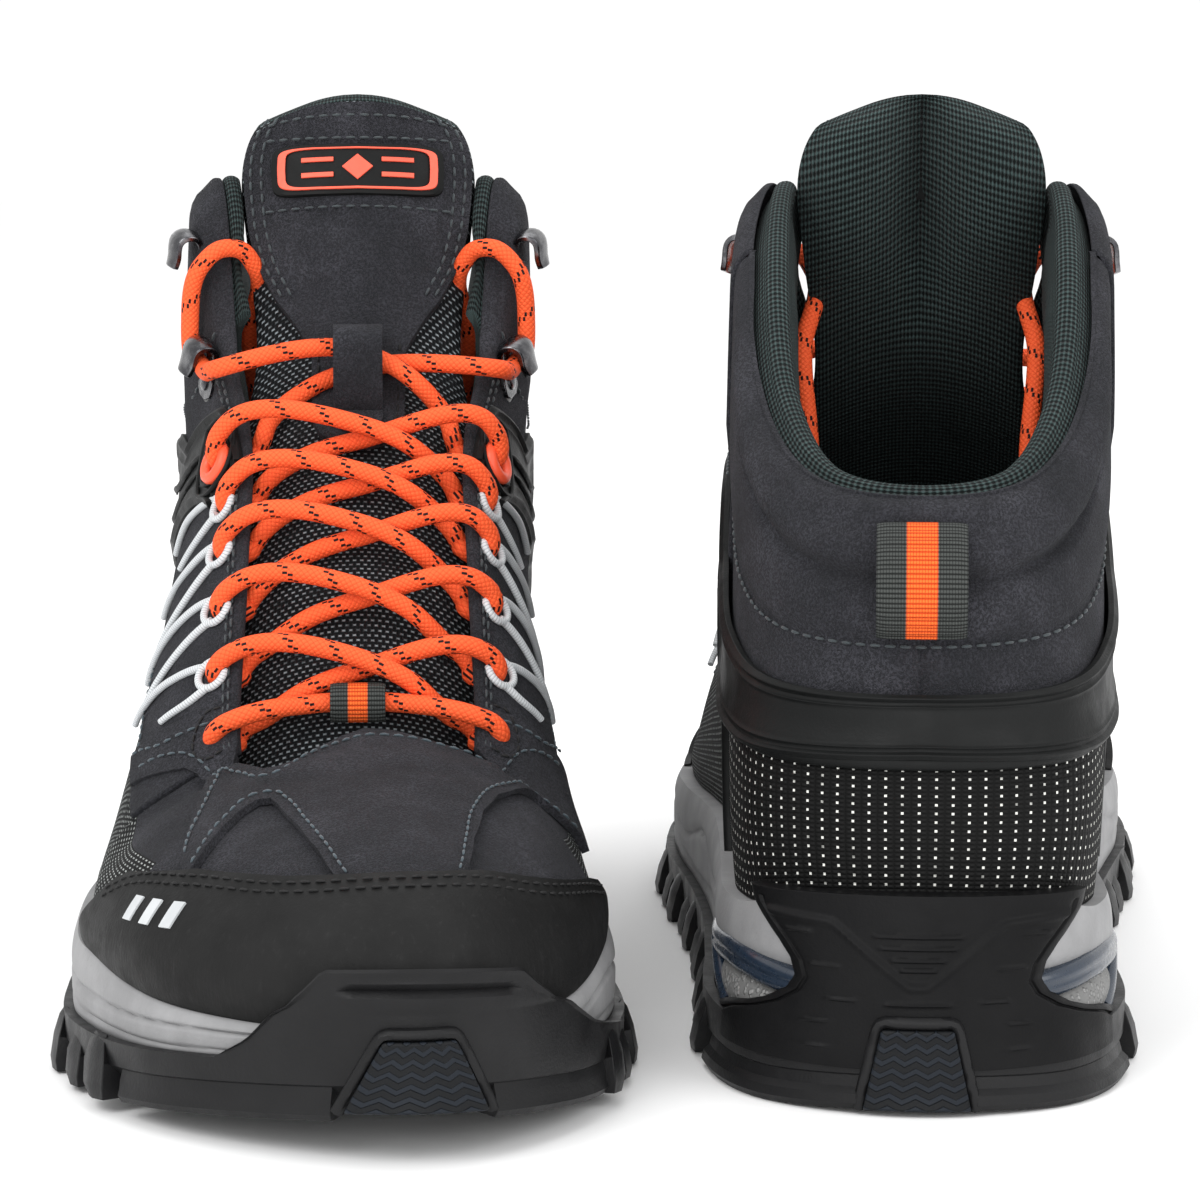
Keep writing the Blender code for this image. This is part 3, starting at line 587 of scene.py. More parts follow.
def make_knit(name):
    """Dark green padding knit in small raised loops."""
    look = Look(name, rgb(30, 42, 42), 0.9, 0.15, Sheen_Weight=0.05)
    u, v = look.uv()
    turns, slant = 2 * math.pi / 1.6, v * 0.6
    share = look.span(((u + slant) * turns).sine() * ((u - slant) * turns).sine(), -0.6, 0.8)
    soft = look.mix(share, rgb(5, 8, 8), rgb(62, 78, 77))
    look.colour(look.fade(look.noise(9, 3), 0.3, 0.7, soft, rgb(14, 22, 22), 0.25))
    return look.bumped((share, 0.6), (look.noise(0.5, 2), 0.1))


def make_rubber(name, colour, rough, gloss=0.2, streak=None):
    look = Look(name, colour, rough, gloss)
    dull = look.fade(look.noise(22, 3), 0.3, 0.75, colour, dim(colour, 1.5, 0.003), 0.5)
    look.rough(look.span(look.noise(6, 4), 0.25, 0.8, rough - 0.08, rough + 0.1))
    layers = [(look.noise(0.7, 3, 0.65), 0.08)]
    if streak:
        lines = look.noise(streak, 4, 0.7, (1.0, 1.0, 0.06))
        dull = look.fade(lines, 0.55, 0.8, dull, dim(colour, 2.6, 0.01), 0.5)
        layers.append((lines, 0.1))
    look.colour(dull)
    return look.bumped(*layers)


def make_diamond_rubber(name):
    look = Look(name, rgb(28, 34, 42), 0.5, 0.2)
    u, v = look.uv()
    wave = ((v + u.math("PINGPONG", 2.2) * 0.55) * 2.6).sine()
    cell = look.span(wave, -0.2, 0.5)
    look.colour(look.mix(cell, rgb(10, 12, 15), rgb(22, 27, 34)))
    return look.bumped((cell, 0.5), (look.noise(0.6), 0.06))


def make_foam(name, colour, dotted=False):
    look = Look(name, colour, 0.62, 0.35)
    tint = look.fade(look.noise(14, 4), 0.3, 0.75, dim(colour, 0.86), dim(colour, 1.12))
    tint = look.fade(look.noise(1.1, 2, 0.8), 0.62, 0.8, tint, dim(colour, 0.6), 0.35)
    layers = [(look.noise(0.9, 3), 0.08)]
    if dotted:
        cells = look.node("ShaderNodeTexVoronoi", {0: look.place(), "Scale": 700.0}, "Distance")
        spot = look.span(cells, 0.25, 0.5)
        tint = look.mix(spot, tint, dim(colour, 0.62))
        layers.append((1.0 - spot, 0.35))
    look.colour(tint)
    return look.bumped(*layers)


def make_lace_look(name):
    """Braided orange cord with two black yarns winding round it. UV: angle share, length in mm."""
    look = Look(name, rgb(246, 96, 56), 0.7, 0.2)
    turn, along = look.uv()
    strands, pitch, step, winding = 9.0, 1.25, 1.15, 9.2
    around, run = turn * strands, along / pitch
    braid = (around + run).arches(1) * (around - run).arches(1)
    base = look.fade(braid, 0.0, 0.3, rgb(226, 76, 36), rgb(248, 98, 52))
    cell = (along / step).floor()
    off = abs((turn + cell * (step / winding)).fract() - 0.5)
    band = look.span(abs(off - 0.048), 0.016, 0.03, 1.0, 0.0)
    dash = look.span(abs((along / step).fract() - 0.5), 0.4, 0.48, 1.0, 0.0)
    look.colour(look.mix(band * dash, base, rgb(16, 14, 15)))
    return look.bumped((braid, 0.14))


def make_white_cord(name):
    look = Look(name, rgb(196, 199, 201), 0.5, 0.3)
    turn, along = look.uv()
    thread = (turn + along / 0.62).arches(1)
    look.colour(look.fade(thread, 0.05, 0.7, rgb(160, 164, 167), rgb(204, 207, 209)))
    return look.bumped((thread, 0.07))


def make_webbing(name, half):
    """Grey strap with an orange stripe down the middle. UV: across and along in millimetres."""
    look = Look(name, rgb(60, 63, 61), 0.8, 0.2)
    across, along = look.uv()
    weave = along.arches(0.85) * (across.arches(0.55) * 0.6 + 0.4)
    grey = look.fade(weave, 0.1, 0.8, rgb(24, 26, 25), rgb(70, 73, 71))
    orange = look.fade(weave, 0.1, 0.8, rgb(190, 58, 14), rgb(252, 112, 48))
    look.colour(look.mix(look.span(abs(across), half, half + 0.35, 1.0, 0.0), grey, orange))
    return look.bumped((weave, 0.3))


def make_thread(name, colour):
    look = Look(name, colour, 0.6, Sheen_Weight=0.2)
    strand = look.noise(0.35, 2)
    look.colour(look.fade(strand, 0.3, 0.7, dim(colour, 0.6), colour))
    return look.bumped((strand, 0.06))


def make_gunmetal(name):
    look = Look(name, rgb(98, 98, 100), 0.24, Metallic=1.0)
    look.colour(look.fade(look.noise(3.0, 4), 0.35, 0.75, rgb(70, 70, 73), rgb(124, 124, 126)))
    look.rough(look.span(look.noise(0.8, 3), 0.3, 0.75, 0.16, 0.36))
    return look.bumped((look.noise(0.6, 3), 0.02))


def make_plastic(name, colour, rough=0.4, coat=0.0):
    look = Look(name, colour, rough, Coat_Weight=coat)
    fine = look.noise(1.2, 3)
    look.colour(look.fade(look.noise(9, 3), 0.3, 0.75, dim(colour, 0.85), colour))
    look.rough(look.span(fine, 0.3, 0.75, rough - 0.05, rough + 0.08))
    return look.bumped((fine, 0.03))


def make_board(name, colour):
    look = Look(name, colour, 0.88)
    fibre = look.noise(1.6, 4, 0.7, (1, 0.25, 1))
    look.colour(look.fade(fibre, 0.3, 0.7, dim(colour, 0.7), colour))
    return look.bumped((fibre, 0.12))


# what makes each look, its name, and what the maker wants to know
LOOK_LIST = [
    (make_suede, "suede"),
    (make_flecked_mesh, "mesh_rows", rgb(17, 18, 18), 1.9, 1.3, rgb(176, 180, 178), 0.25, 0.19),
    (make_flecked_mesh, "mesh_dots", rgb(15, 15, 15), 3.1, 2.1, rgb(226, 226, 220), 0.09, 0.16, 0.0),
    (make_flecked_mesh, "mesh_tongue", rgb(22, 24, 26), 1.5, 1.15, rgb(140, 148, 152), 0.26, 0.2),
    (make_knit, "knit"),
    (make_rubber, "rubber", rgb(20, 20, 21), 0.45),
    (make_rubber, "heel_rubber", rgb(12, 12, 13), 0.5, 0.12),
    (make_rubber, "toe_rubber", rgb(18, 18, 18), 0.6, 0.18, 1.1),
    (make_rubber, "band_rubber", rgb(17, 18, 18), 0.5, 0.14),
    (make_diamond_rubber, "navy_tread"),
    (make_plastic, "navy_gloss", rgb(30, 42, 57), 0.3, 0.25),
    (make_foam, "foam", rgb(140, 140, 141)),
    (make_foam, "foam_dotted", rgb(146, 146, 145), True),
    (make_lace_look, "lace"),
    (make_white_cord, "white_cord"),
    (make_webbing, "webbing_wide", 2.7),
    (make_webbing, "webbing_narrow", 1.75),
    (make_thread, "teal_thread", rgb(60, 75, 83)),
    (make_thread, "dim_thread", rgb(44, 54, 58)),
    (make_plastic, "dark_thread", rgb(7, 7, 8), 0.75),
    (make_gunmetal, "gunmetal"),
    (make_plastic, "orange_plastic", rgb(250, 92, 56), 0.42),
    (make_plastic, "black_plastic", rgb(22, 22, 23), 0.4),
    (make_plastic, "coral", rgb(250, 96, 70), 0.5),
    (make_plastic, "white_print", rgb(196, 199, 201), 0.6),
    (make_board, "board", rgb(186, 178, 162)),
    (make_board, "footbed", rgb(44, 48, 50)),
]
LOOKS = {name: make(name, *rest) for make, name, *rest in LOOK_LIST}


# ---------------------------------------------------------------- placing pieces

TONGUE_BEND = (3.92, 4.5)  # the stretch of t over which the tongue folds; the tongue's pieces here are baked in place and do not fold


def to_pair(side, points):
    """Boot-frame millimetres to the pair's frame in metres."""
    angle = math.radians(YAW_DEG[side])
    x, y = points[:, 0], (points[:, 1] - BOOT_LENGTH / 2) * FACING[side]
    turned = (x * math.cos(angle) - y * math.sin(angle), x * math.sin(angle) + y * math.cos(angle))
    at = PLACES[side]
    return np.stack([turned[0] + at[0], turned[1] + at[1], points[:, 2]], -1) * MM


def piece(
    name, part, looks, stands_for=(), body="boot", bevel=0.0, smooth_deg=45, looks_of=None, wrap=False
):
    """Adds one piece to both boots.

    looks_of gives each face's number among several looks. wrap mends the UVs of the faces that cross
    the seam of a cord, where its angle share goes from 1 back to 0.
    """
    made = {}
    points, faces, uv = part
    sizes = np.array([len(f) for f in faces])
    for side in SIDES:
        mesh = bpy.data.meshes.new(f"{side}_{name}_look")
        turned = faces if FACING[side] > 0 else [f[::-1] for f in faces]
        mesh.from_pydata(to_pair(side, points).tolist(), [], turned)
        coordinates = uv[np.concatenate(turned)].astype(float)
        if wrap:
            highest = np.maximum.reduceat(coordinates[:, 0], np.cumsum(sizes) - sizes)
            crossing = (np.repeat(highest, sizes) > 0.75) & (coordinates[:, 0] < 0.25)
            coordinates[crossing, 0] += 1.0
        mesh.uv_layers.new(name="UVMap").data.foreach_set("uv", coordinates.ravel())
        for look in looks.split():
            mesh.materials.append(LOOKS[look])
        if looks_of is not None:
            mesh.polygons.foreach_set("material_index", np.asarray(looks_of, np.int32))
        mesh.shade_smooth()
        mesh.set_sharp_from_angle(angle=math.radians(smooth_deg))
        obj = bpy.data.objects.new(f"{side}_{name}_look", mesh)
        bpy.context.scene.collection.objects.link(obj)
        if bevel:
            rounding = obj.modifiers.new("edges", "BEVEL")
            rounding.width = bevel * MM
            rounding.segments = 2
            rounding.limit_method = "ANGLE"
            rounding.angle_limit = math.radians(50)
        if stands_for:
            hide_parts(*(f"{side}_{node}" for node in stands_for))
        if body == "blend":
            fold = [to_pair(side, tongue_point(np.array([t]), 0.0, 4.0))[0] for t in TONGUE_BEND]
            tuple(fold[0])
            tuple(fold[1])
            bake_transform(obj)
        else:
            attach(obj, f"{side}_{body}")
        made[side] = obj
    return made


def columns(start, end, step=0.055, extra=()):
    count = max(2, int(round((end - start) / step)))
    return np.unique(np.concatenate([np.linspace(start, end, count + 1), extra]))


def edge_at(edge, u):
    """The height v of an edge at u. The edge is a number, (u, v) keys or a function of u."""
    if callable(edge):
        return edge(u)
    return keyed(u, edge) if np.ndim(edge) else np.full(u.shape, float(edge))


def levels(keys):
    return lambda u: level(u, keys)


def sheet_on_upper(us, low, high, rows, outer, inner, slant=None):
    """A slab of the upper between two edges.

    outer and inner are offsets from the wall, or functions of (u, v, t) with t the share of the way up.
    """
    t = np.linspace(0, 1, rows + 1)[:, None]
    u = np.broadcast_to(us[None, :], (rows + 1, len(us)))
    if slant:
        u = slant(u, t)
    v = edge_at(low, u) + (edge_at(high, u) - edge_at(low, u)) * t
    return slab(*(on_upper(u, v, face(u, v, t) if callable(face) else face) for face in (outer, inner)))


# ---------------------------------------------------------------- the sole

# how far up the wall the rubber climbs, by distance from the toe's and the heel's middle in mm
TOE_WRAP = [(0, 1), (14, 1), (19, 0.8), (27, 0.3), (36, 0)]
HEEL_WRAP = [(0, 0.17), (22, 0.17), (31, 0)]
# how far the midsole's top dips under the toe cap and under the heel's mesh
TOE_DIP = [(0, 0), (9.2, 0), (9.8, 0.6), (10.4, 1), (11, 1)]
HEEL_DIP = [(0, 0), (0.8, 0.2), (1.6, 1), (3.2, 1), (4.6, 0), (11, 0)]
DENSE = ((0, 22, 0.06), (9.6, 12.6, 0.03), (0, 1.5, 0.03), (20.5, 22, 0.03))
SOLE_COLUMNS = np.unique(np.round(np.concatenate([np.arange(*run) for run in DENSE]), 4))
WALL_LOW = 0.1  # the climb of the wall away from the wraps
TOE_REACH = 0.1  # how far up the upper, in v, the toe's rubber goes


def wall_share(u):
    point = skin(u, 0.0)
    x, y = point[..., 0], point[..., 1]
    toe = eased(np.abs(x - 11), TOE_WRAP) * (y > 200)
    heel = keyed(np.abs(x), HEEL_WRAP) * (y < 100)
    return toe, heel, y


def rubber_wall(u, share, grow, carve=0.0):
    """Points up the outsole's wall; share is 0 at the base plate and 1 at the top of the wraps."""
    toe, heel, y = wall_share(u)
    climb = np.maximum(WALL_LOW, np.maximum(toe, heel)) * share
    plan_share = 0.62
    low = OUTSOLE_TOP + toe_spring(y)
    z = low + (skin(u, 0.0)[..., 2] - low) * climb / plan_share
    v = TOE_REACH * toe * (climb - plan_share) / (1 - plan_share)
    flat = sole_point(u, grow + carve, z)
    high = on_upper(u, np.maximum(v, 0.0), grow + 0.1 + carve)
    return flat + (high - flat) * soft(rise(climb, 0.48, 0.76))[..., None]


def wall_carving(u, share):
    """The slot and the low relief of the toe bumper, in mm outwards."""
    point = skin(u, 0.0)
    dx = np.abs(point[..., 0] - 12)
    at_toe = point[..., 1] > 200
    slot = rise(dx, 13.0, 12.2) * ridge(share, 0.83, 0.05)
    rim = ridge(share, 0.97, 0.05) * (dx < 32)
    return np.where(at_toe, 0.6 * rim - 1.3 * slot, 0)


# the hourglass: (share of the way up, half width in u)
HEEL_WIDTHS = [
    (0, 1.86), (0.16, 1.82), (0.22, 1.6), (0.28, 1.25), (0.34, 1.02), (0.42, 0.85), (0.5, 0.79), (0.6, 0.83),
    (0.7, 0.93), (0.8, 1.06), (0.9, 1.2), (1, 1.28),
]
# raised dashes on it: (distance from the middle, height, half length)
HEEL_DASHES = [
    (0, 33.6, 7.5), (0, 31.4, 6.5), (0, 29.2, 4.5), (0, 27.4, 3), (15, 27.4, 2.7), (12.2, 21.4, 2.7),
    (0, 21.0, 5.5), (16.3, 17.0, 2.2), (16.4, 12.2, 2.2), (19.5, 33.5, 2.4),
]


def heel_bumper_relief(x, z, q, share):
    side = np.abs(x)
    line = keyed(side, [(0, 24.2), (1.5, 24.3), (12.4, 34.2), (14.2, 35.6), (23, 36.2)])
    relief = 0.75 * ridge(z - line, 0.0, 1.1) * (np.abs(q) < 0.86)
    relief += 0.35 * rise(z, line, line - 0.8) * (np.abs(q) < 0.86)
    relief -= 0.7 * ridge(np.abs(q), 0.87, 0.035) * (share < 0.95)
    for at, high, half in HEEL_DASHES:
        relief += 0.5 * np.clip((half - np.abs(side - at)) / 0.5, 0, 1) * ridge(z, high, 0.55)
    return relief


def heel_bumper():
    """The hourglass of rubber over the back of the midsole."""
    share = np.linspace(0, 1, 90)[:, None]
    q = np.linspace(-1, 1, 101)[None, :]
    u = eased(share, HEEL_WIDTHS) * q
    top = skin(u, 0.0)[..., 2]
    z = 8.5 + (top + 1.2 - 8.5) * share
    x = skin(u, 0.0)[..., 0]
    body = 6.1 - 1.6 * share**2 - 1.6 * np.abs(q) ** 10 + heel_bumper_relief(x, z, q + 0 * u, share)
    return slab(sole_point(u, body, z), sole_point(u, 0.2 + 0 * u, z))


def build_outsole():
    u = SOLE_COLUMNS
    spring = spring_at(u)
    stack = [sole_point(u, 3.8, OUTSOLE_BASE + spring), sole_point(u, 5.9, OUTSOLE_BASE + 2.2 + spring)]
    stack += [rubber_wall(u, s, 6.0, wall_carving(u, s)) for s in np.linspace(0.06, 1.0, 34)]
    stack += [rubber_wall(u, s, 3.8) for s in (1.0, 0.8, 0.62, 0.31)]
    stack += [sole_point(u, 2.9, OUTSOLE_TOP + spring)]
    part = rings(np.array(stack))
    piece("outsole", part, "rubber", ["outsole"], smooth_deg=35)
    piece("heel_bumper", heel_bumper(), "heel_rubber", bevel=0.4, smooth_deg=40)

    lugs = [*plate_lugs(), *edge_lugs(), *middle_lugs()]
    piece("lugs", joined(lugs), "rubber", bevel=0.7, smooth_deg=30)


def plate_lugs():
    """The four plates that close the tread at the heel and the toe, beside the plugs."""
    for start, end, reach in ((0.34, 1.85, 7.8), (-1.85, -0.34, 7.8), (9.7, 10.72, 6.7), (11.4, 12.6, 6.7)):
        us = np.linspace(start, end, 16)
        outer = ((reach - 0.8, 0.2), (reach, 1.5), (reach - 0.4, 3.2), (6.2, 4.3), (5.6, 6.5))
        inner = ((-7, 0.2), (-7, 1.6), (-7, 3.0), (-2, 4.6), (0, 5.0))
        yield slab(*(
            np.array([sole_point(us, grow, z + spring_at(us)) for grow, z in rows]) for rows in (outer, inner)
        ))


def edge_lugs():
    """The lugs round the edge, which lean with the stride; every second one stands a little lower."""
    u = SOLE_COLUMNS
    perimeter = evenly(np.concatenate([skin(u, 0.0), u[:, None]], 1), 15.2)
    # (share of the way up, half length, reach outwards, height, reach of the inner face)
    rows = (
        (0, 3.2, 7.9, 0.2, -6.5), (0.25, 4.4, 8.2, 2.6, -6.5), (0.6, 4.8, 7.4, 7.0, 0),
        (0.9, 3.8, 6.2, 10.4, 2), (1, 3.0, 5.0, 12.0, 3),
    )
    q = np.linspace(-1, 1, 5)
    for count, (x, y, _, middle) in enumerate(perimeter):
        if abs(x) < 34 and y < 42 or y > 262:
            continue
        speed = float(np.linalg.norm(skin(middle + 0.5, 0.0) - skin(middle - 0.5, 0.0)))
        lean = 3.6 / speed * (1 if middle < 11 else -1)
        low = count % 2
        outer, inner = [], []
        for share, half, reach, z, back in rows:
            us = middle + lean * (0.5 - share) + half * q / speed
            peak = 0.6 * (1 - np.abs(q))
            outer.append(sole_point(us, reach + peak - 0.6 * low, z * (1 - 0.14 * low) + spring_at(us)))
            inner.append(sole_point(us, back, min(z, 5.5) + spring_at(us)))
        yield slab(np.array(outer), np.array(inner))


def middle_lugs():
    """Rows of chevrons across the middle of the sole."""
    across = skin(np.linspace(0, 22, 441), 0.0)
    for row, y in enumerate(np.arange(22, 284, 13.0)):
        near = across[np.abs(across[:, 1] - y) < 4.0]
        if len(near) < 2:
            continue
        low, high = near[:, 0].min() + 8.5, near[:, 0].max() - 8.5
        lean = 2.2 if row % 2 else -2.2
        shape = np.array([(-5, -3.6), (0, -3.6 - lean), (5, -3.6), (5, 3.6), (0, 3.6 - lean), (-5, 3.6)])
        for x in np.linspace(low + 7, high - 7, max(0, int((high - low) // 15))):
            yield rings(np.array([
                np.column_stack([shape * grow + (x, y), np.full(6, z + toe_spring(y))])
                for grow, z in ((1, 0.15), (1.1, 2.4), (1.16, OUTSOLE_BASE + 1.5))
            ]))


def build_midsole():
    u = SOLE_COLUMNS
    low = OUTSOLE_TOP + 0.3 + spring_at(u)
    top = skin(u, 0.0)[:, 2] - 0.2 - 4.2 * level(u, TOE_DIP) - 3.6 * level(u, HEEL_DIP)
    bulge = level(u, [(0, 2.4), (1.5, 2.4), (3.0, 3.6), (8.8, 3.8), (9.5, 2.6), (11, 2.4)])
    cave = level(u, [(0, 1), (2.9, 1), (3.3, 0), (11, 0)])
    stack = []
    for s in np.linspace(0, 1, 25):
        turn = u * 2 * np.pi / ROUND
        groove = -0.9 * bell(s - 0.62 - 0.1 * np.sin(9 * turn), 0.035) * (1 - cave)
        groove -= 0.5 * bell(s - 0.3 - 0.06 * np.sin(6 * turn + 1), 0.03) * (1 - cave)
        crown = 1.3 * (1 - (2 * s - 1) ** 4) - 0.8
        hollow = cave * (bulge - 0.2) * ridge(np.full_like(u, s), 0.4, 0.3)
        stack.append(sole_point(u, bulge + crown + groove - hollow, low + (top - low) * s))
    for grow, drop in ((0.5, 0.0), (-5.0, 0.2), (-5.2, 6.4)):
        stack.append(sole_point(u, grow, top - drop))
    piece("midsole", rings(np.array(stack)), "foam", ["midsole"], smooth_deg=60)

    bars, pads = [], []
    bar_line = [(0.6, 22), (0.95, 23), (1.3, 24), (1.7, 24), (2.2, 22.6), (2.7, 20.4), (3.1, 18)]
    for sign in (-1, 1):
        us = np.linspace(0.6, 3.1, 60)[None, :]
        r = np.linspace(-1, 1, 13)[:, None]
        z = eased(us, bar_line) + 2.7 * r * np.clip((3.1 - us) / 0.5, 0.25, 1)
        grow = 2.9 + 1.5 * np.sqrt(1 - r**2) - 0.4 * bell(r, 0.2) + 0 * us
        bars.append(slab(sole_point(sign * us, grow, z), sole_point(sign * us, 0.3, z)))
        strut = smooth_path([(22.5, 22), (21, 18.5), (19.5, 15.5), (17.5, 13)], 1.0)
        bars.append(tube(sole_point(sign * strut[:, 0] / 10, 2.4, strut[:, 1]), 2.0))
        us = np.linspace(0.7, 2.06, 34)[None, :]
        rows = np.linspace(0, 1, 9)[:, None]
        high = eased(us, bar_line) - 2.6
        z = 11.6 + (high - 11.6) * rows
        puff = 2.9 * np.sin(np.pi * np.clip(rows, 0.03, 0.97)) ** 0.5 * np.ones_like(us)
        pads.append(slab(sole_point(sign * us, 0.6 + puff, z), sole_point(sign * us, 0.2, z)))
    piece("stabiliser", joined(bars), "navy_gloss", ["heel_stabiliser"], smooth_deg=60)
    piece("cushion_pods", joined(pads), "foam_dotted", smooth_deg=60)


def build_plugs():
    """The tread inserts, each with a rim that climbs one side, crosses its top and comes down the other."""
    q = np.linspace(-1, 1, 13)
    for name, centre, half, top, taper in (
        ("toe_plug", 11.06, 0.285, 23.0, 0.52), ("heel_plug", 0.0, 0.31, 16.5, 0.33),
    ):
        grids = []
        for grow, dished in ((8.1, 1.0), (6.3, 0.0)):
            rows = []
            for share in np.linspace(0, 1, 8):
                us = centre + half * (1 - taper * share) * q
                low = 1.0 + toe_spring(skin(us, 0.0)[:, 1] + 6)
                dish = -0.5 * dished * (1 - q**6) * (1 - (2 * share - 1) ** 6)
                rows.append(sole_point(us, grow + dish, low + (top - low) * share))
            grids.append(np.array(rows))
        piece(name, slab(*grids), "navy_tread", [name], bevel=0.5)
        climb = np.linspace(0, 1, 20)
        share = np.concatenate([climb, np.full(12, 1.04), climb[::-1]])
        across = np.concatenate([
            taper * climb - 1, (1 - taper) * np.linspace(-1, 1, 14)[1:-1], 1 - taper * climb[::-1]
        ])
        u = centre + half * 1.12 * across
        low = 1.0 + toe_spring(skin(u, 0.0)[:, 1] + 6)
        path = sole_point(u, 6.6, low + (top + 0.6 - low) * share)
        path = evenly(smooth_path(path, 1.2), 1.2)
        piece(name + "_rim", tube(path, 1.15, 8), "rubber", wrap=True)


# ---------------------------------------------------------------- the upper

SEAM = 0.012
# edges of the panels as (u, v) keys
CAP_TOP = [
    (8.3, 0.02), (8.64, 0.06), (8.98, 0.215), (9.14, 0.3), (9.32, 0.35), (9.94, 0.4), (10.46, 0.385),
    (11.0, 0.4), (11.56, 0.4), (11.88, 0.375), (12.78, 0.31), (13.0, 0.28), (13.2, 0.2), (13.6, 0.02),
]
THROAT = [
    (7.9, 1.0), (8.1, 0.96), (8.4, 0.89), (8.9, 0.835), (9.46, 0.805), (9.7, 0.795), (9.88, 0.81),
    (9.96, 0.835), (10.12, 0.905), (10.5, 0.96), (11.0, 0.99), (11.7, 0.985), (12.4, 0.965), (12.9, 0.935),
    (13.4, 0.9), (13.7, 0.885), (13.85, 0.9), (13.95, 0.95), (14.03, 1.0),
]
WINDOWS = [
    (7.3, 0.46), (7.66, 0.5), (7.8, 0.66), (7.9, 0.77), (8.02, 0.815), (8.3, 0.83), (8.6, 0.8), (8.96, 0.735),
    (9.24, 0.655), (9.64, 0.5), (9.76, 0.415), (9.79, 0.3), (9.86, 0.3), (9.875, 0.45), (9.885, 0.56),
    (9.91, 0.63), (9.98, 0.675), (10.1, 0.685), (10.2, 0.665), (10.42, 0.59), (10.58, 0.5), (10.68, 0.405),
    (10.72, 0.33), (11.45, 0.33), (11.5, 0.435), (11.68, 0.54), (11.96, 0.63), (12.36, 0.68), (12.84, 0.69),
    (13.42, 0.675), (13.64, 0.59), (13.78, 0.45), (13.85, 0.3), (14.7, 0.3),
]
BAND_LOW = [(0, 0.36), (2, 0.33), (3, 0.32), (4, 0.38), (5, 0.55), (6, 0.80), (6.15, 0.83)]
BAND_HIGH = [(0, 0.53), (2, 0.52), (3, 0.51), (4, 0.58), (5, 0.74), (5.6, 0.96), (6.15, 0.985)]
SUEDE_LOW = [(3, 0.38), (4, 0.42), (5, 0.44), (6, 0.45), (7.42, 0.47), (8.1, 0.49)]


def folds(u, v):
    """Soft unevenness of the upper, in mm: the flex creases and the drape between seams."""
    flex = 0.5 * np.sin(v * 46 + 2.2 * np.sin(u * 2.1)) * ridge(v, 0.82, 0.16) * (np.abs(u - 11) < 3)
    drape = 0.35 * np.sin(u * 5.3 + v * 9) + 0.25 * np.sin(u * 2.7 - v * 14)
    return flex + drape * ridge(v, 0.5, 0.45)


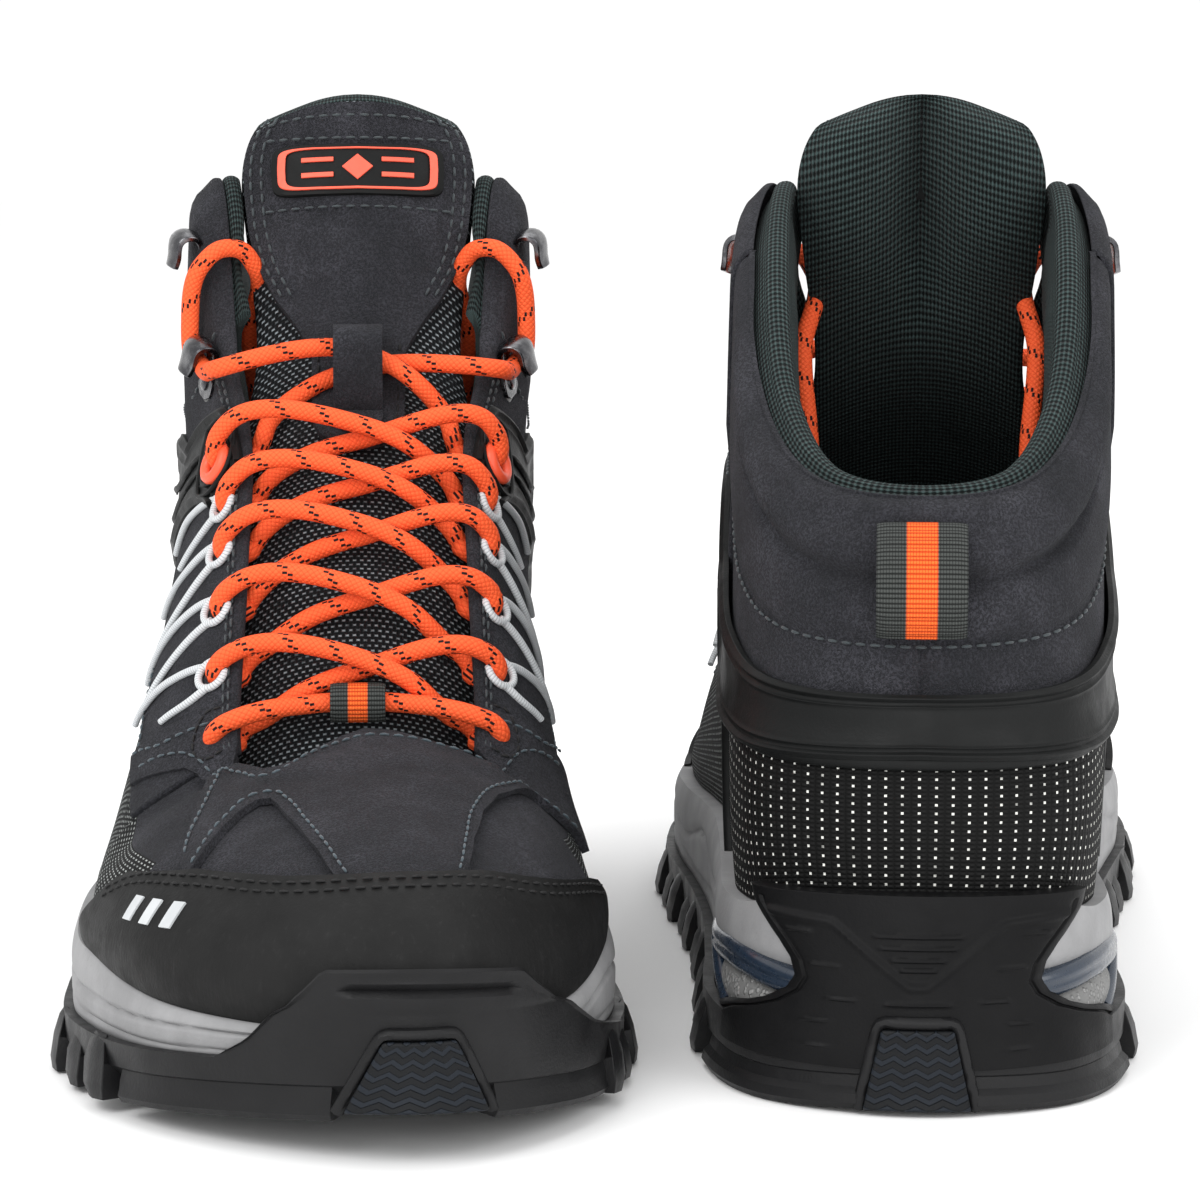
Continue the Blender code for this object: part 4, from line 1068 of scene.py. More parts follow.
def build_shell():
    us = columns(-3 + SEAM, 3 - SEAM)

    def low(u):
        return -0.045 * level(u, HEEL_DIP)

    part = sheet_on_upper(us, low, 0.415, 18, lambda u, v, t: folds(u, v) * 0.4, -1.4)
    piece("heel_panel", part, "mesh_dots", ["heel_panel"])

    def padded_collar(u, v, t):
        side = from_heel(u)
        seam_v = keyed(side, [(0, 0.665), (1.0, 0.66), (1.8, 0.64), (3.0, 0.66)])
        puff = 1.5 * rise(v, seam_v, seam_v + 0.07) ** 0.5 * rise(v, 1.0, 0.94) ** 0.5
        back_seam = 1.1 * bell(side, 0.035) * (v < seam_v)
        crease_v = eased(side, [(0, 0.81), (0.7, 0.815), (1.5, 0.84), (2.3, 0.9), (3.0, 0.97)])
        crease = 1.6 * ridge(v, crease_v + 0.06, 0.065) - 2.0 * bell(v - crease_v, 0.018)
        curl = 2.6 * rise(v, 0.965, 1.0) ** 2
        seam = 0.5 * bell(v - seam_v, 0.012)
        return puff + crease * rise(side, 2.7, 1.9) - back_seam - seam - curl

    us = columns(-3 + SEAM, 3 - SEAM, 0.04, np.linspace(-0.12, 0.12, 13))
    part = sheet_on_upper(us, 0.42, 1.0, 40, padded_collar, -1.4)
    piece("collar_panel", part, "suede", ["collar_panel"], bevel=0.4)

    def quarter_offset(u, v, t):
        side = from_heel(u)
        pad = 1.6 * rise(side, 5.0, 4.5) * rise(v, 0.62, 0.72) * rise(v, 1.0, 0.95) ** 0.5
        curl = 4.2 * rise(v, 0.96, 1.025) ** 2
        return 0.7 + pad + folds(u, v) * 0.6 - curl * np.clip((5.6 - side) / 0.5, 0.3, 1)

    def quarter_inside(u, v, t):
        return quarter_offset(u, v, t) - 1.6

    def rim(u):
        return 1.0 + 0.02 * ridge(from_heel(u), 4.2, 1.2)

    for name, start, end in (("lateral", 3.0, 7.97), ("medial", ROUND - 7.97, ROUND - 3.0)):
        us = columns(start, end)
        high = levels([(3, 0.5), (8, 0.56), (11, 0.56)])
        part = sheet_on_upper(us, low, high, 18, lambda u, v, t: folds(u, v) * 0.4 - 0.3, -1.4)
        piece(f"quarter_mesh_{name}", part, "mesh_rows")
        part = sheet_on_upper(us, levels(SUEDE_LOW), rim, 40, quarter_offset, quarter_inside)
        piece(f"quarter_{name}", part, "suede", [f"quarter_{name}"], bevel=0.5)

    steps = np.array([u for u, _ in THROAT + WINDOWS + CAP_TOP])
    us = columns(7.97 + SEAM, 14.03 - SEAM, 0.05, steps[(steps > 8.0) & (steps < 14.0)])
    part = sheet_on_upper(us, 0.0, THROAT, 44, lambda u, v, t: folds(u, v) * 0.7 - 0.2, -1.4)
    # the outer faces come first, row by row; the low ones on both sides show the mesh
    cells = len(us) - 1
    centre_u = np.tile((us[1:] + us[:-1]) / 2, 44)
    looks = np.zeros(len(part[1]), int)
    looks[: 44 * cells] = (np.repeat(np.arange(44), cells) < 23) & ((centre_u < 9.4) | (centre_u > 13.2))
    piece("vamp", part, "suede mesh_rows", ["vamp"], looks_of=looks, bevel=0.4)

    def slanted(u, t):
        shift = keyed(t, [(0, 0), (0.4, 0.22), (0.65, 0.3), (0.85, 0.36), (1, 0.4)])
        return u + shift * (rise(u, 8.2, 7.3) - rise(u, ROUND - 8.2, ROUND - 7.3))

    us = columns(7.3, 14.7, 0.045, steps)
    us = us[(us >= 7.3) & (us <= 14.7)]

    def top(u):
        return np.where((u < 7.9) | (u > 14.03), 1.0, keyed(u, THROAT))

    part = sheet_on_upper(us, WINDOWS, top, 26, lambda u, v, t: 1.5 + folds(u, v) * 0.7, 0.1, slanted)
    piece("vamp_overlay", part, "suede", bevel=0.5)

    def cap_low(u):
        return 0.008 - 0.065 * level(u, TOE_DIP)

    us = columns(8.3, 13.6, 0.05, [u for u, _ in CAP_TOP])
    part = sheet_on_upper(us, cap_low, CAP_TOP, 20, lambda u, v, t: 2.5 + folds(u, v) * 0.3, 0.9)
    piece("toe_cap", part, "toe_rubber", ["toe_cap"], bevel=0.5)

    def band_profile(u, v, t):
        rims = ridge(t, 0.07, 0.06) + ridge(t, 0.93, 0.06)
        lines = ridge(t, 0.2, 0.035) + ridge(t, 0.8, 0.035)
        return 2.0 + 0.9 * rims + 0.45 * lines - 0.3 * ridge(t, 0.5, 0.3)

    arms = np.arange(4.2, 6.1, 0.016)
    us = columns(-6.15, 6.15, 0.05, np.concatenate([-arms, arms]))
    part = sheet_on_upper(us, levels(BAND_LOW), levels(BAND_HIGH), 40, band_profile, 0.8)
    piece("heel_band", part, "band_rubber", ["heel_band"], bevel=0.4)

    lines = []
    diamond = [(5.52, 0.87), (5.66, 0.94), (5.9, 0.975), (6.1, 0.93), (6.08, 0.85), (5.9, 0.79), (5.66, 0.81)]
    for lateral in (True, False):
        for scale in (1.0, 0.72):
            ring = [(5.85 + (u - 5.85) * scale, 0.885 + (v - 0.885) * scale) for u, v in diamond]
            path, _ = uv_path(ring + ring[:1], 1.0, 2.35, lateral)
            lines.append(tube(path[:-1], 0.6, 8, closed=True))
        for lift in (0.0, 0.05):
            arm = [(4.2, 0.47 + lift), (4.7, 0.555 + lift), (5.2, 0.665 + lift), (5.6, 0.78 + lift)]
            path, _ = uv_path(arm, 1.0, 2.2, lateral)
            radius = keyed(np.linspace(0, 1, len(path)), [(0, 0.2), (0.1, 0.7), (0.9, 0.7), (1, 0.2)])
            lines.append(tube(path, radius, 8))
    piece("band_lines", joined(lines), "band_rubber", wrap=True)

    border = [
        (-2.62, 0.01), (-2.68, 0.1), (-2.7, 0.25), (-2.62, 0.325), (-2.4, 0.345), (-1.5, 0.35), (0, 0.352),
        (1.5, 0.35), (2.4, 0.345), (2.62, 0.325), (2.7, 0.25), (2.68, 0.1), (2.62, 0.01),
    ]
    path, _ = uv_path(border, 1.5, 0.4)
    piece("heel_piping", tube(path, 1.5, 12), "band_rubber", wrap=True)


def build_linings():
    def profile(u, v):
        """Thickness of the lining: thin in the heel, padded round the ankle and rolled at the top."""
        side = from_heel(u)
        full = keyed(side, [(0, 11.5), (3, 12.5), (4, 10.0), (4.4, 9.5), (4.9, 7.5)])
        full = full * (1 - 0.42 * bell(side - 4.64, 0.16))
        return 1.4 + (full - 4.0) * soft(rise(v, 0.15, 0.65))

    us = columns(-4.9, 4.9, 0.06)
    heights = np.concatenate([np.linspace(0.05, 0.93, 30), np.linspace(0.945, 1.0, 6)])
    u, v = np.meshgrid(us, heights)
    v = v * (1 + 0.012 * ridge(np.abs(u), 4.2, 1.2))
    depth = np.where(v < 0.55, 4.0, 1.9) + 2.6 * rise(v, 0.95, 1.0) ** 2
    outer = on_upper(u, v, -depth)
    inner = on_upper(u, v, -(depth + profile(u, v) * (1 - 0.5 * rise(v, 0.86, 1.0) ** 2.4)))
    _, normal, up = skin_frame(us, 1.0)
    centre = (outer[-1] + inner[-1]) / 2
    half = np.linalg.norm(outer[-1] - inner[-1], axis=-1)[:, None] / 2
    angles = np.linspace(0, np.pi, 9)[1:-1]
    crown = [centre + half * (normal * math.cos(a) + up * 0.75 * math.sin(a)) for a in angles]
    loop = np.concatenate([outer, np.array(crown), inner[::-1]])
    points, faces, _ = rings(loop.transpose(1, 0, 2))
    around = np.concatenate([[0], np.cumsum(np.linalg.norm(np.diff(loop, axis=0), axis=-1).mean(1))])
    uv = np.stack(np.meshgrid(around, lengths(loop[len(heights)])), -1).reshape(-1, 2)
    made = piece("collar_padding", (points, faces, uv), "knit", ["collar_padding"], smooth_deg=70)

    def top(u):
        below_throat = keyed(np.clip(u, 7.9, 14.03), THROAT) - 0.03
        return np.minimum(level(u, [(0, 0.78), (8.3, 0.78), (9.0, 0.9), (11, 0.95)]), below_throat)

    us = columns(5.2, ROUND - 5.2, 0.1)
    part = sheet_on_upper(us, 0.03, top, 14, -4.0, -5.2)
    piece("vamp_lining", part, "knit", ["vamp_lining"])

    u = np.linspace(0, 22, 221)[:-1]
    stack = []
    for grow, drop in ((-6.2, 4.9), (-6.0, 2.0), (-6.4, 0.9), (-8.5, 1.4), (-14, 2.2), (-20, 2.4)):
        stack.append(sole_point(u, grow, skin(u, 0.0)[:, 2] - drop))
    piece("footbed", rings(np.array(stack)), "footbed", ["footbed"], smooth_deg=60)


# ---------------------------------------------------------------- the tongue


# (t, half width in q) of the suede cover
COVER_EDGE = [
    (3.02, 0.05), (3.05, 0.19), (3.12, 0.3), (3.25, 0.37), (3.5, 0.4), (3.9, 0.44), (4.1, 0.56), (4.45, 0.78),
    (4.8, 0.91), (5.2, 0.96), (6.45, 0.955), (6.7, 0.91), (6.93, 0.8),
]


def build_tongue():
    rows, around = 90, 72
    turn = np.arange(around) / around * 2 * np.pi
    share = np.linspace(0.0, 1.0, rows)[:, None]
    c, s = np.cos(turn)[None, :], np.sin(turn)[None, :]
    q = np.sign(c) * np.abs(c) ** 0.75
    top = 7.14 - 0.4 * q**2
    t = 0.05 + (top - 0.05) * share
    thickness = spline(TONGUE, np.minimum(t, 7.0))[..., 4]
    upper = rise(t, 4.2, 5.4)
    end = np.sqrt(1 - rise(share, 0.93, 1.0) ** 2)
    front = thickness * (0.5 - 0.5 * np.abs(s) ** 0.6)
    front = front + 0.5 * np.sin(t * 9.0) * (1 - q**2) * (t < 3.4)
    lobes = np.clip(1 - ((np.abs(q) - 0.58) / 0.47) ** 2, 0, 1) ** 0.6
    bulges = 1 - upper + upper * (2.7 * lobes - 0.85)
    back = thickness * (0.5 + 0.5 * np.abs(s) ** 0.7 * bulges)
    depth = np.where(s >= 0, front, back)
    depth = thickness * 0.5 + (depth - thickness * 0.5) * end
    stack = tongue_point(t, q * (0.985 - 0.06 * (1 - end)), depth)
    points, faces, _ = rings(stack)
    at = lengths(stack[:, around // 4])
    x = spline(TONGUE, np.minimum(t, 7.0))[..., 2] * q
    uv = np.stack(np.broadcast_arrays(x, at[:, None]), -1).reshape(-1, 2)
    cell = np.tile(np.arange(around), rows - 1)
    row = np.repeat(np.arange(rows - 1), around)
    inside = (cell >= around // 2) | (row > rows * 0.965)
    looks = np.concatenate([inside, [True, True]])
    made = piece(
        "tongue", (points, faces, uv), "mesh_tongue knit", ["tongue_lower", "tongue_upper"],
        body="blend", smooth_deg=80, looks_of=looks,
    )

    cover_t = np.concatenate([np.linspace(3.02, 3.25, 14), np.linspace(3.3, 6.93, 58)])[:, None]
    cover_q = np.linspace(-1, 1, 41)[None, :]
    reach = eased(cover_t, COVER_EDGE)
    t = cover_t + 0.0 * cover_q
    t = t - 0.3 * np.abs(cover_q) ** 3 * rise(cover_t, 6.2, 6.9)
    wide = reach * cover_q
    wrinkle = 0.25 * np.sin(t * 7 + cover_q * 3) + 0.2 * np.sin(t * 3.1 - cover_q * 5)
    bulge = 0.7 * (1 - cover_q**2) * ridge(t, 5.4, 1.4)
    outer = tongue_point(t, wide, -1.7 - wrinkle - bulge)
    inner = tongue_point(t, wide, 0.8)
    piece("tongue_cover", slab(outer, inner), "suede", ["tongue_cover"], body="blend", bevel=0.5)

    base = plate(5.5, 6.18, 0.72, -3.7, -1.5)
    piece("tongue_badge", base, "band_rubber", ["tongue_badge"], body="tongue", smooth_deg=35)
    marks = [plate(5.56, 6.12, 0.67, -4.25, -3.5, hole=0.9)]
    for q_low, q_high in ((-0.47, -0.2), (0.2, 0.47)):
        for t_low, t_high in ((5.71, 5.77), (5.91, 5.97)):
            t = np.linspace(t_low, t_high, 3)[:, None]
            q = np.linspace(q_low, q_high, 7)[None, :]
            marks.append(slab(tongue_point(t, q, -4.2), tongue_point(t, q, -3.5)))
    diamond = [(0.0, 0.17), (0.13, 0.0), (0.0, -0.17), (-0.13, 0.0)]
    marks.append(rings(np.array([
        [tongue_point(5.84 + b * scale, a * scale, depth) for a, b in diamond]
        for scale, depth in ((1.0, -3.5), (1.0, -4.2), (0.5, -4.3))
    ])))
    piece("badge_marks", joined(marks), "coral", body="tongue", bevel=0.12, smooth_deg=40)

    start, end, clearance = 3.3, 4.02, 12.0
    share = np.linspace(0, 1, 45)
    arch = tongue_point(start + (end - start) * share, 0.0, -2.0 - clearance * np.sin(np.pi * share) ** 0.8)
    tab = tongue_point(np.linspace(3.1, start, 10), 0.0, -2.2)
    path = np.concatenate([tab[:-1], arch])
    half = np.full(len(path), 5.2)
    half[:6] *= np.sqrt(np.clip(1 - (1 - np.arange(6) / 6) ** 2, 0.03, 1))
    part = ribbon(path, X_AXIS, half, -0.6, 11)
    piece("lace_keeper", part, "suede", ["lace_keeper"], bevel=0.35)


def plate(t_low, t_high, half_q, depth_out, depth_in, hole=0.0):
    """A rounded rectangle on the tongue, or a frame of it when hole is above 0."""
    centre, half_t = (t_low + t_high) / 2, (t_high - t_low) / 2
    angle = np.linspace(0, 2 * np.pi, 49)[:-1]
    x, y = (np.sign(a) * np.abs(a) ** 0.28 for a in (np.cos(angle), np.sin(angle)))
    sizes = [(1.0, depth_in), (1.0, depth_out), (hole, depth_out), (hole, depth_in)]
    if not hole:
        sizes = [(1.0, depth_in), (1.0, depth_out + 0.3)]
        sizes += [(scale, depth_out) for scale in (0.97, 0.75, 0.5, 0.25, 0.04)]
    stack = [tongue_point(centre + half_t * scale * y, half_q * scale * x, depth) for scale, depth in sizes]
    return rings(np.array(stack), closed=hole > 0)


# ---------------------------------------------------------------- fittings


def build_loops():
    share = np.linspace(0, 1, 70)
    base = on_upper(np.zeros(70), 0.685 + 0.255 * share, 0.0)
    lift = 1.6 + 7.6 * np.sin(np.pi * share) ** 0.7
    path = base - np.array([0, 1.0, 0]) * lift[:, None]
    path[:, 0] = 0
    path = evenly(path, 0.42)
    part = webbing(path, 16.8, 1.2, 31, rib=0.3, pitch=2.0)
    piece("pull_loop", part, "webbing_wide", ["pull_loop"], smooth_deg=60)

    reach, open_share = LACE_D / 2 + 1.3, 0.12
    turn = 2 * np.pi * (open_share / 2 + (1 - open_share) * np.linspace(0, 1, 60)) - np.pi / 2
    path = LOWEST_STRAND + np.stack([0 * turn, reach * np.cos(turn), reach * np.sin(turn)], -1)
    part = webbing(path, 11.0, 0.9, 23, rib=0.15, pitch=1.5)
    piece("vamp_loop", part, "webbing_narrow", ["vamp_loop"], smooth_deg=60)


def mirrored(u, lateral):
    return u if lateral else ROUND - u


def hook_frame(u, v):
    point, normal, up = skin_frame(u, v)
    return point + normal * 0.5, up, normal, np.cross(up, normal)


def build_hooks():
    thickness = 1.2
    radius = (HOOK_ROOM + thickness) / 2
    middle = thickness / 2 + radius
    profile = [(-8.0, thickness / 2), (-3.0, thickness / 2), (1.5, thickness / 2)]
    bend = np.pi * np.arange(1, 12) / 12
    profile += [(1.5 + radius * math.sin(a), middle - radius * math.cos(a)) for a in bend]
    profile += [(1.5, middle + radius), (-1.2, middle + radius), (-3.2, middle + radius + 0.3)]
    profile = np.array(profile)
    for row, (u, v) in enumerate(HOOKS):
        for name, on_lateral in (("lateral", True), ("medial", False)):
            origin, up, outward, along = hook_frame(mirrored(u, on_lateral), v)
            flat = smooth_path(np.column_stack([profile, 0 * profile[:, 0]]), 0.6)[:, :2]
            path = origin + flat[:, :1] * up + flat[:, 1:2] * outward
            share = np.linspace(0, 1, len(path))
            half = 4.4 - 1.5 * ridge(share, 0.38, 0.25) - 1.2 * rise(share, 0.85, 1.0) ** 2
            half = half * np.sqrt(np.clip(share / 0.06, 0.15, 1))
            end_normal = np.cross(path[-1] - path[-2], along)
            cup = 0.8 * np.linspace(-1, 1, 9) ** 2 * rise(share, 0.3, 0.6)[:, None]
            part = ribbon(path, along, half, 0.6, 9, -np.sign(end_normal @ outward) * cup)
            node = f"hook_{('lower', 'upper')[row]}_{name}"
            piece(node, part, "gunmetal", [node], bevel=0.3, smooth_deg=60)
            plinth = [(5.6, -0.6), (5.6, 0.0), (5.0, 0.45), (3.0, 0.5)]
            part = button(origin - up * 3.6, up, along * 0.85, outward, plinth)
            piece(node + "_base", part, "black_plastic", smooth_deg=50)
            head = [(1.9, 1.0), (1.9, 1.5), (1.3, 1.9), (0.4, 2.0)]
            part = button(origin - up * 4.6, up, along, outward, head)
            piece(node + "_rivet", part, "gunmetal", smooth_deg=50)


def button(centre, up, along, outward, profile):
    """A round body through (radius, height) keys."""
    angle = np.linspace(0, 2 * np.pi, 33)[:-1, None]
    turn = up * np.cos(angle) + along * np.sin(angle)
    return rings(np.array([centre + turn * radius + outward * height for radius, height in profile]))


# ---------------------------------------------------------------- the lace

LOWEST_STRAND = np.array([0.0, 203.3, 67.4])
OVER, UNDER, LAST_LIFT = 0.7, -4.5, 1.3  # heights of the crossing strands over the throat
# (x outwards, y, z) of an end of the lace inside the boot
LACE_TAIL = [
    (24.3, 109, 135), (22.5, 97, 114), (22.5, 92, 92), (23.5, 94, 70),
    (24.5, 104, 52), (25.5, 120, 42), (26.5, 136, 38), (27, 150, 36),
]


def turn_through_hole(eyelet, lateral):
    s, v = EYELETS[eyelet]
    u = mirrored(s, lateral)
    over = 2.4 if eyelet == len(EYELETS) - 1 else 0.0
    top, bottom = over + LACE_D / 2 + 0.5, -1.4 - LACE_D / 2 - 0.9
    point, normal, up = skin_frame(u, v)
    radius = (top - bottom) / 2
    centre = point + normal * (top + bottom) / 2 + up * radius
    arc = [
        centre + radius * (math.sin(a) * normal - math.cos(a) * up)
        for a in (math.pi * (0.5 - k / 4) for k in range(5))
    ]
    edge_over = on_upper(u, 1.0, top + 0.5)
    hidden = [
        on_upper(mirrored(s - back, lateral), v, bottom - 0.5) for back, v in ((0.03, 0.935), (0.07, 0.985))
    ]
    return [edge_over, *arc, *hidden]


def over_the_collar(lateral):
    route = [on_upper(mirrored(5.42, lateral), 1.0, 5.6)]
    origin, up, outward, along = hook_frame(mirrored(HOOKS[0][0], lateral), HOOKS[0][1])
    forward = 1 if along @ [0, 1, 0] > 0 else -1
    channel = origin + outward * (1.2 + HOOK_ROOM / 2) - up * 0.4
    route += [channel + along * forward * step for step in (6.5, 0.0, -6.5)]
    route.append(on_upper(mirrored(4.72, lateral), 0.91, 4.6))
    edge, normal, up = skin_frame(mirrored(4.66, lateral), 1.0)
    centre = edge - normal * 2.6
    for degrees in (20, 65, 110, 155):
        a = math.radians(degrees)
        route.append(centre + 6.6 * (math.cos(a) * normal + math.sin(a) * up))
    side = -1 if lateral else 1
    return route + [np.array([side * x, y, z], float) for x, y, z in LACE_TAIL]


def lace_route():
    halves = []
    for starts_lateral in (True, False):
        lateral = starts_lateral
        half = []
        for eyelet in range(len(EYELETS)):
            half += turn_through_hole(eyelet, lateral)
            leaving = -1 if lateral else 1
            lateral = not lateral
            s_low = EYELETS[eyelet][0]
            s_high = EYELETS[eyelet + 1][0] if eyelet + 1 < len(EYELETS) else 5.3
            lift = LAST_LIFT if eyelet == len(EYELETS) - 1 else 0.0
            height = (OVER if lateral else UNDER) + lift
            crossing = ((0.8, 0.28, -5.2), (0.42, 0.6, 0.7 * height - 1.4), (0.0, 0.82, height))
            for across, climbed, offset in crossing:
                half.append(throat_point(s_low - climbed * (s_low - s_high), leaving * across, offset))
        halves.append(half + over_the_collar(lateral))
    across = np.array([8.0, 0, 0])
    return halves[0][::-1] + [LOWEST_STRAND - across, LOWEST_STRAND + across] + halves[1]


def build_lace():
    path = evenly(smooth_path(np.array(lace_route()), 0.8), 0.75)
    part = tube(path, LACE_LOOKS_D / 2, 20)
    piece("lace", part, "lace", ["lace"], wrap=True, smooth_deg=80)

    u, v = EYELETS[-1]
    degrees = np.linspace(0, 360, 41)[:-1]
    circles = [hoop(mirrored(u, side), v, 2.9, 3.5, 3.5, degrees) for side in (True, False)]
    eyelets = [tube(circle, 1.35, 10, closed=True) for circle in circles]
    piece("eyelets", joined(eyelets), "orange_plastic", wrap=True)


def hoop(u, v, lift, tall, wide, degrees):
    """Points round a spot on the upper, at a height of lift above it."""
    point, normal, up = skin_frame(u, v)
    angle = np.radians(degrees)[:, None]
    return point + normal * lift + np.cos(angle) * up * tall + np.sin(angle) * np.cross(up, normal) * wide


# ---------------------------------------------------------------- cords and stitching

def uv_path(keys, step, offset, lateral=True):
    """(points, normals) of a smooth line on the upper through (u, v) keys."""
    keys = np.array([(mirrored(u, lateral), v) for u, v in keys], float)
    fine = smooth_path(np.column_stack([skin(*keys.T), keys * 1e-3]), step)
    u, v = fine[:, 3] * 1e3, np.clip(fine[:, 4] * 1e3, 0, 1)
    point, normal, _ = skin_frame(u, v)
    return point + normal * offset, normal


def build_cords():
    cords = []
    outer = {
        4: [(6.2, 0.872), (5.9, 0.765), (5.55, 0.66), (5.33, 0.58)],
        3: [(6.62, 0.868), (6.36, 0.72), (6.05, 0.6), (5.8, 0.515)],
        2: [(7.04, 0.872), (6.78, 0.68), (6.5, 0.54), (6.2, 0.43)],
        1: [(7.4, 0.87), (7.22, 0.68), (7.02, 0.54), (6.76, 0.42)],
    }
    inner = {
        4: [(6.34, 0.868), (6.24, 0.775), (6.04, 0.655)],
        3: [(6.76, 0.868), (6.68, 0.72), (6.5, 0.56)],
        2: [(7.16, 0.872), (7.08, 0.7), (6.98, 0.53)],
        1: [(7.5, 0.87), (7.49, 0.78), (7.42, 0.64)],
    }
    for lateral in (True, False):
        for eyelet in (1, 2, 3, 4):
            s, v = EYELETS[eyelet]
            loop = hoop(mirrored(s, lateral), v, 1.4, 3.3, 3.1, np.linspace(28, 332, 40))
            cords.append(tube(loop, 0.8, 10))
            for keys in (outer[eyelet], inner[eyelet]):
                path, _ = uv_path(keys, 0.8, 1.3, lateral)
                cords.append(tube(path, np.linspace(0.85, 0.7, len(path)), 10))
    piece("white_cords", joined(cords), "white_cord", wrap=True, smooth_deg=80)


def inset(keys, amount):
    return [(u, v + amount) for u, v in keys]


def build_stitching():
    teal, dim, black = [], [], []

    def row(store, keys, offset, lateral=True, **kind):
        path, normal = uv_path(keys, 1.0, offset, lateral)
        store.append(stitch_row(path, normal, **kind))

    arch_left = [
        (9.84, 0.44), (9.82, 0.6), (9.9, 0.69), (10.08, 0.71), (10.25, 0.685), (10.46, 0.61), (10.62, 0.52),
        (10.73, 0.42),
    ]
    arch_right = [
        (11.43, 0.43), (11.6, 0.54), (11.88, 0.645), (12.32, 0.705), (12.84, 0.715), (13.46, 0.7),
        (13.7, 0.6), (13.84, 0.46),
    ]
    finger = [
        (9.7, 0.47), (9.28, 0.69), (8.98, 0.77), (8.6, 0.835), (8.28, 0.862), (7.98, 0.85), (7.82, 0.79),
        (7.7, 0.68), (7.6, 0.56),
    ]
    throat = inset([key for key in THROAT if 8.3 < key[0] < 13.75], -0.03)
    for keys in (arch_left, arch_right, finger, throat):
        row(teal, keys, 1.75)
    row(teal, [key for key in finger if key[0] < 8.7], 1.75, False)
    for lateral in (True, False):
        row(teal, [(7.38, 0.5), (7.58, 0.64), (7.66, 0.78), (7.72, 0.92), (7.75, 0.98)], 1.75, lateral)
    for lateral in (True, False):
        edge = [(s, 0.962) for s in np.arange(5.3, 7.95, 0.2)]
        row(dim, edge, 1.35, lateral)
        row(dim, inset(edge, -0.022), 1.35, lateral)
        row(teal, [(s, 0.5) for s in np.arange(6.4, 7.35, 0.15)], 1.0, lateral)
        ankle = [(3.05, 0.64), (3.6, 0.62), (4.2, 0.66), (4.75, 0.78), (4.95, 0.9), (4.98, 0.97)]
        row(dim, ankle, 1.6, lateral)
    collar = [
        (-3.0, 0.64), (-2.4, 0.64), (-1.8, 0.64), (-1.0, 0.66), (0.0, 0.665), (1.0, 0.66), (1.8, 0.64),
        (3.0, 0.64),
    ]
    row(dim, inset(collar, -0.012), 0.35)
    for drop in (-0.025, -0.055):
        row(black, inset([key for key in CAP_TOP if 9.0 < key[0] < 13.1], drop), 2.75, pitch=3.0)
    around = [(7.79 + 0.155 * math.sin(a), 0.885 - 0.075 * math.cos(a)) for a in np.linspace(-2.0, 2.0, 14)]
    for lateral in (True, False):
        row(black, around, 1.75, lateral, pitch=2.2, length=1.8)
    piece("stitches", joined(teal), "teal_thread", smooth_deg=80)
    piece("collar_stitches", joined(dim), "dim_thread", smooth_deg=80)
    piece("cap_stitches", joined(black), "dark_thread", smooth_deg=80)

    def tongue_row(store, t, q, depth, **kind):
        path = tongue_point(t, q, depth)
        lifted = tongue_point(t, q, depth - 1.0)
        store.append(stitch_row(path, lifted - path, **kind))

    upper = []
    t = np.linspace(4.5, 6.62, 60)
    for sign in (-1, 1):
        for inside in (0.06, 0.15):
            tongue_row(upper, t, sign * (eased(t, COVER_EDGE) - inside), -2.35, pitch=3.0)
    q = np.linspace(-0.8, 0.8, 50)
    tongue_row(upper, 6.7 - 0.25 * np.abs(q) ** 3, q, -2.0, pitch=3.0)
    for t_row in (5.37, 6.29):
        tongue_row(upper, np.full(50, t_row), np.linspace(-0.76, 0.76, 50), -2.75, pitch=3.0)
    piece("tongue_stitches", joined(upper), "dim_thread", body="tongue", smooth_deg=80)
    half_t = np.array([3.92, 3.7, 3.5, 3.3, 3.2, 3.13])
    half_q = eased(half_t, COVER_EDGE) - 0.06
    t = np.concatenate([half_t, [3.09], half_t[::-1]])
    q = np.concatenate([half_q, [0.0], -half_q[::-1]])
    path = smooth_path(tongue_point(t, q, -1.95), 1.0)
    outwards = np.tile(unit(tongue_point(3.4, 0.0, -1.0) - tongue_point(3.4, 0.0, 0.0)), (len(path), 1))
    part = stitch_row(path, outwards, pitch=2.8)
    piece("patch_stitches", part, "dark_thread", smooth_deg=80)


def build_marks():
    """Plain slanted bars where the real boots carry printed marks."""
    white, orange = [], []
    rows = np.linspace(0, 1, 6)[:, None]
    for k in range(3):
        u = 9.53 + 0.17 * k + 0.075 * np.linspace(0, 1, 4) + 0.05 * rows
        v = 0.2 + 0.085 * rows
        white.append(slab(on_upper(u, v, 2.85), on_upper(u, v, 2.4)))
    across, rows = np.linspace(0, 1, 8), np.linspace(0, 1, 4)[:, None]
    for sign in (1, -1):
        u = sign * (3.0 + 0.5 * across + 0.12 * rows)
        v = 0.415 + 0.035 * rows + 0.01 * across
        orange.append(slab(on_upper(u, v, 2.6), on_upper(u, v, 1.8)))
    piece("cap_mark", joined(white), "white_print")
    piece("band_marks", joined(orange), "coral")


def dress_hidden_nodes(frame):
    """The stiffeners and the board inside keep their CAD shapes and get a better material."""
    for side in SIDES:
        for node in ("toe_puff", "heel_counter", "lasting_board"):
            obj = frame["nodes"][f"{side}_{node}"]
            obj.data.materials.clear()
            obj.data.materials.append(LOOKS["board"])


# ---------------------------------------------------------------- the studio


def aim(obj, place, target):
    """Puts a camera or a light at its place, looking at the target."""
    obj.location = place
    obj.rotation_mode = "QUATERNION"
    obj.rotation_quaternion = (Vector(target) - Vector(place)).to_track_quat("-Z", "Y")
    bpy.context.scene.collection.objects.link(obj)


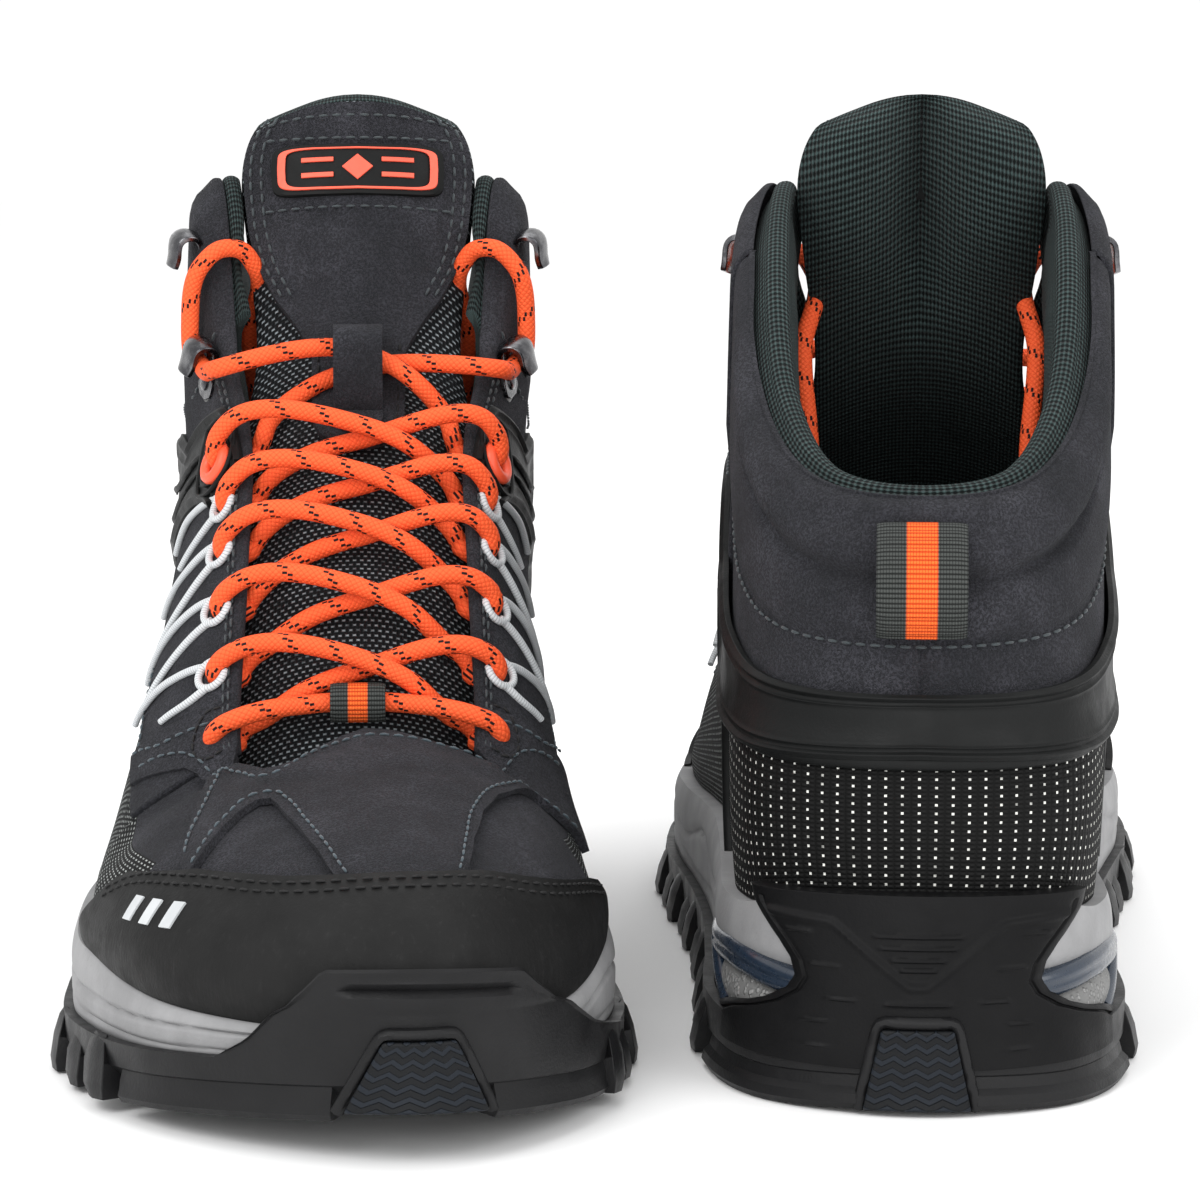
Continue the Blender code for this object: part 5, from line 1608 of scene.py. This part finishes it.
def build_studio():
    scene = bpy.context.scene
    target = Vector((-0.0106, 0.0, 0.079))
    distance, angle = 0.84, math.radians(7.45)
    camera = bpy.data.objects.new("camera", bpy.data.cameras.new("camera"))
    aim(camera, target + distance * Vector((0, -math.cos(angle), math.sin(angle))), target)
    camera.data.lens, camera.data.sensor_width = 116.0, 36.0
    camera.data.clip_start, camera.data.clip_end = 0.05, 30.0
    scene.camera = camera

    scene.world = bpy.data.worlds.new("studio")
    scene.world.use_nodes = True
    sky = scene.world.node_tree.nodes["Background"].inputs
    sky["Color"].default_value = (1.0, 1.0, 1.0, 1)
    sky["Strength"].default_value = 1.04

    size = 6.0
    mesh = bpy.data.meshes.new("floor")
    corners = [(-size, -size, 0), (size, -size, 0), (size, size, 0), (-size, size, 0)]
    mesh.from_pydata(corners, [], [(0, 1, 2, 3)])
    floor = bpy.data.objects.new("floor", mesh)
    scene.collection.objects.link(floor)
    look = Look("floor", (0.97, 0.97, 0.97), 0.8)
    look.colour(look.mix(look.noise(400, 2), (0.965, 0.965, 0.965), (0.975, 0.975, 0.975)))
    mesh.materials.append(look.material)

    for name, place, size, watts in (
        ("key", (-0.9, -1.1, 1.3), 0.9, 13.0),
        ("fill", (1.1, -0.9, 0.9), 1.0, 8.0),
        ("top", (0.1, 0.5, 1.6), 1.2, 6.0),
        ("low", (0.0, -1.6, 0.35), 0.7, 5.0),
    ):
        light = bpy.data.objects.new(name, bpy.data.lights.new(name, "AREA"))
        light.data.size, light.data.energy = size, watts
        aim(light, place, (0, 0, 0.08))
    scene.view_settings.view_transform = "Standard"


# ---------------------------------------------------------------- everything in order

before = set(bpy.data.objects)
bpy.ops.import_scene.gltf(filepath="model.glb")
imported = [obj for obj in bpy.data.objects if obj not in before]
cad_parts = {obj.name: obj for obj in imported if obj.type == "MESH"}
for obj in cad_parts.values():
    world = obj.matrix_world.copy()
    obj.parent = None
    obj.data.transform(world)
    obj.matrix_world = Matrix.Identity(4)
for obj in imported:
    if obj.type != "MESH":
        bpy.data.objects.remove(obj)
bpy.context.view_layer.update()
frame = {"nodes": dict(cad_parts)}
build_studio()
build_outsole()
build_midsole()
build_plugs()
build_shell()
build_linings()
build_tongue()
build_loops()
build_hooks()
build_lace()
build_cords()
build_stitching()
build_marks()
dress_hidden_nodes(frame)
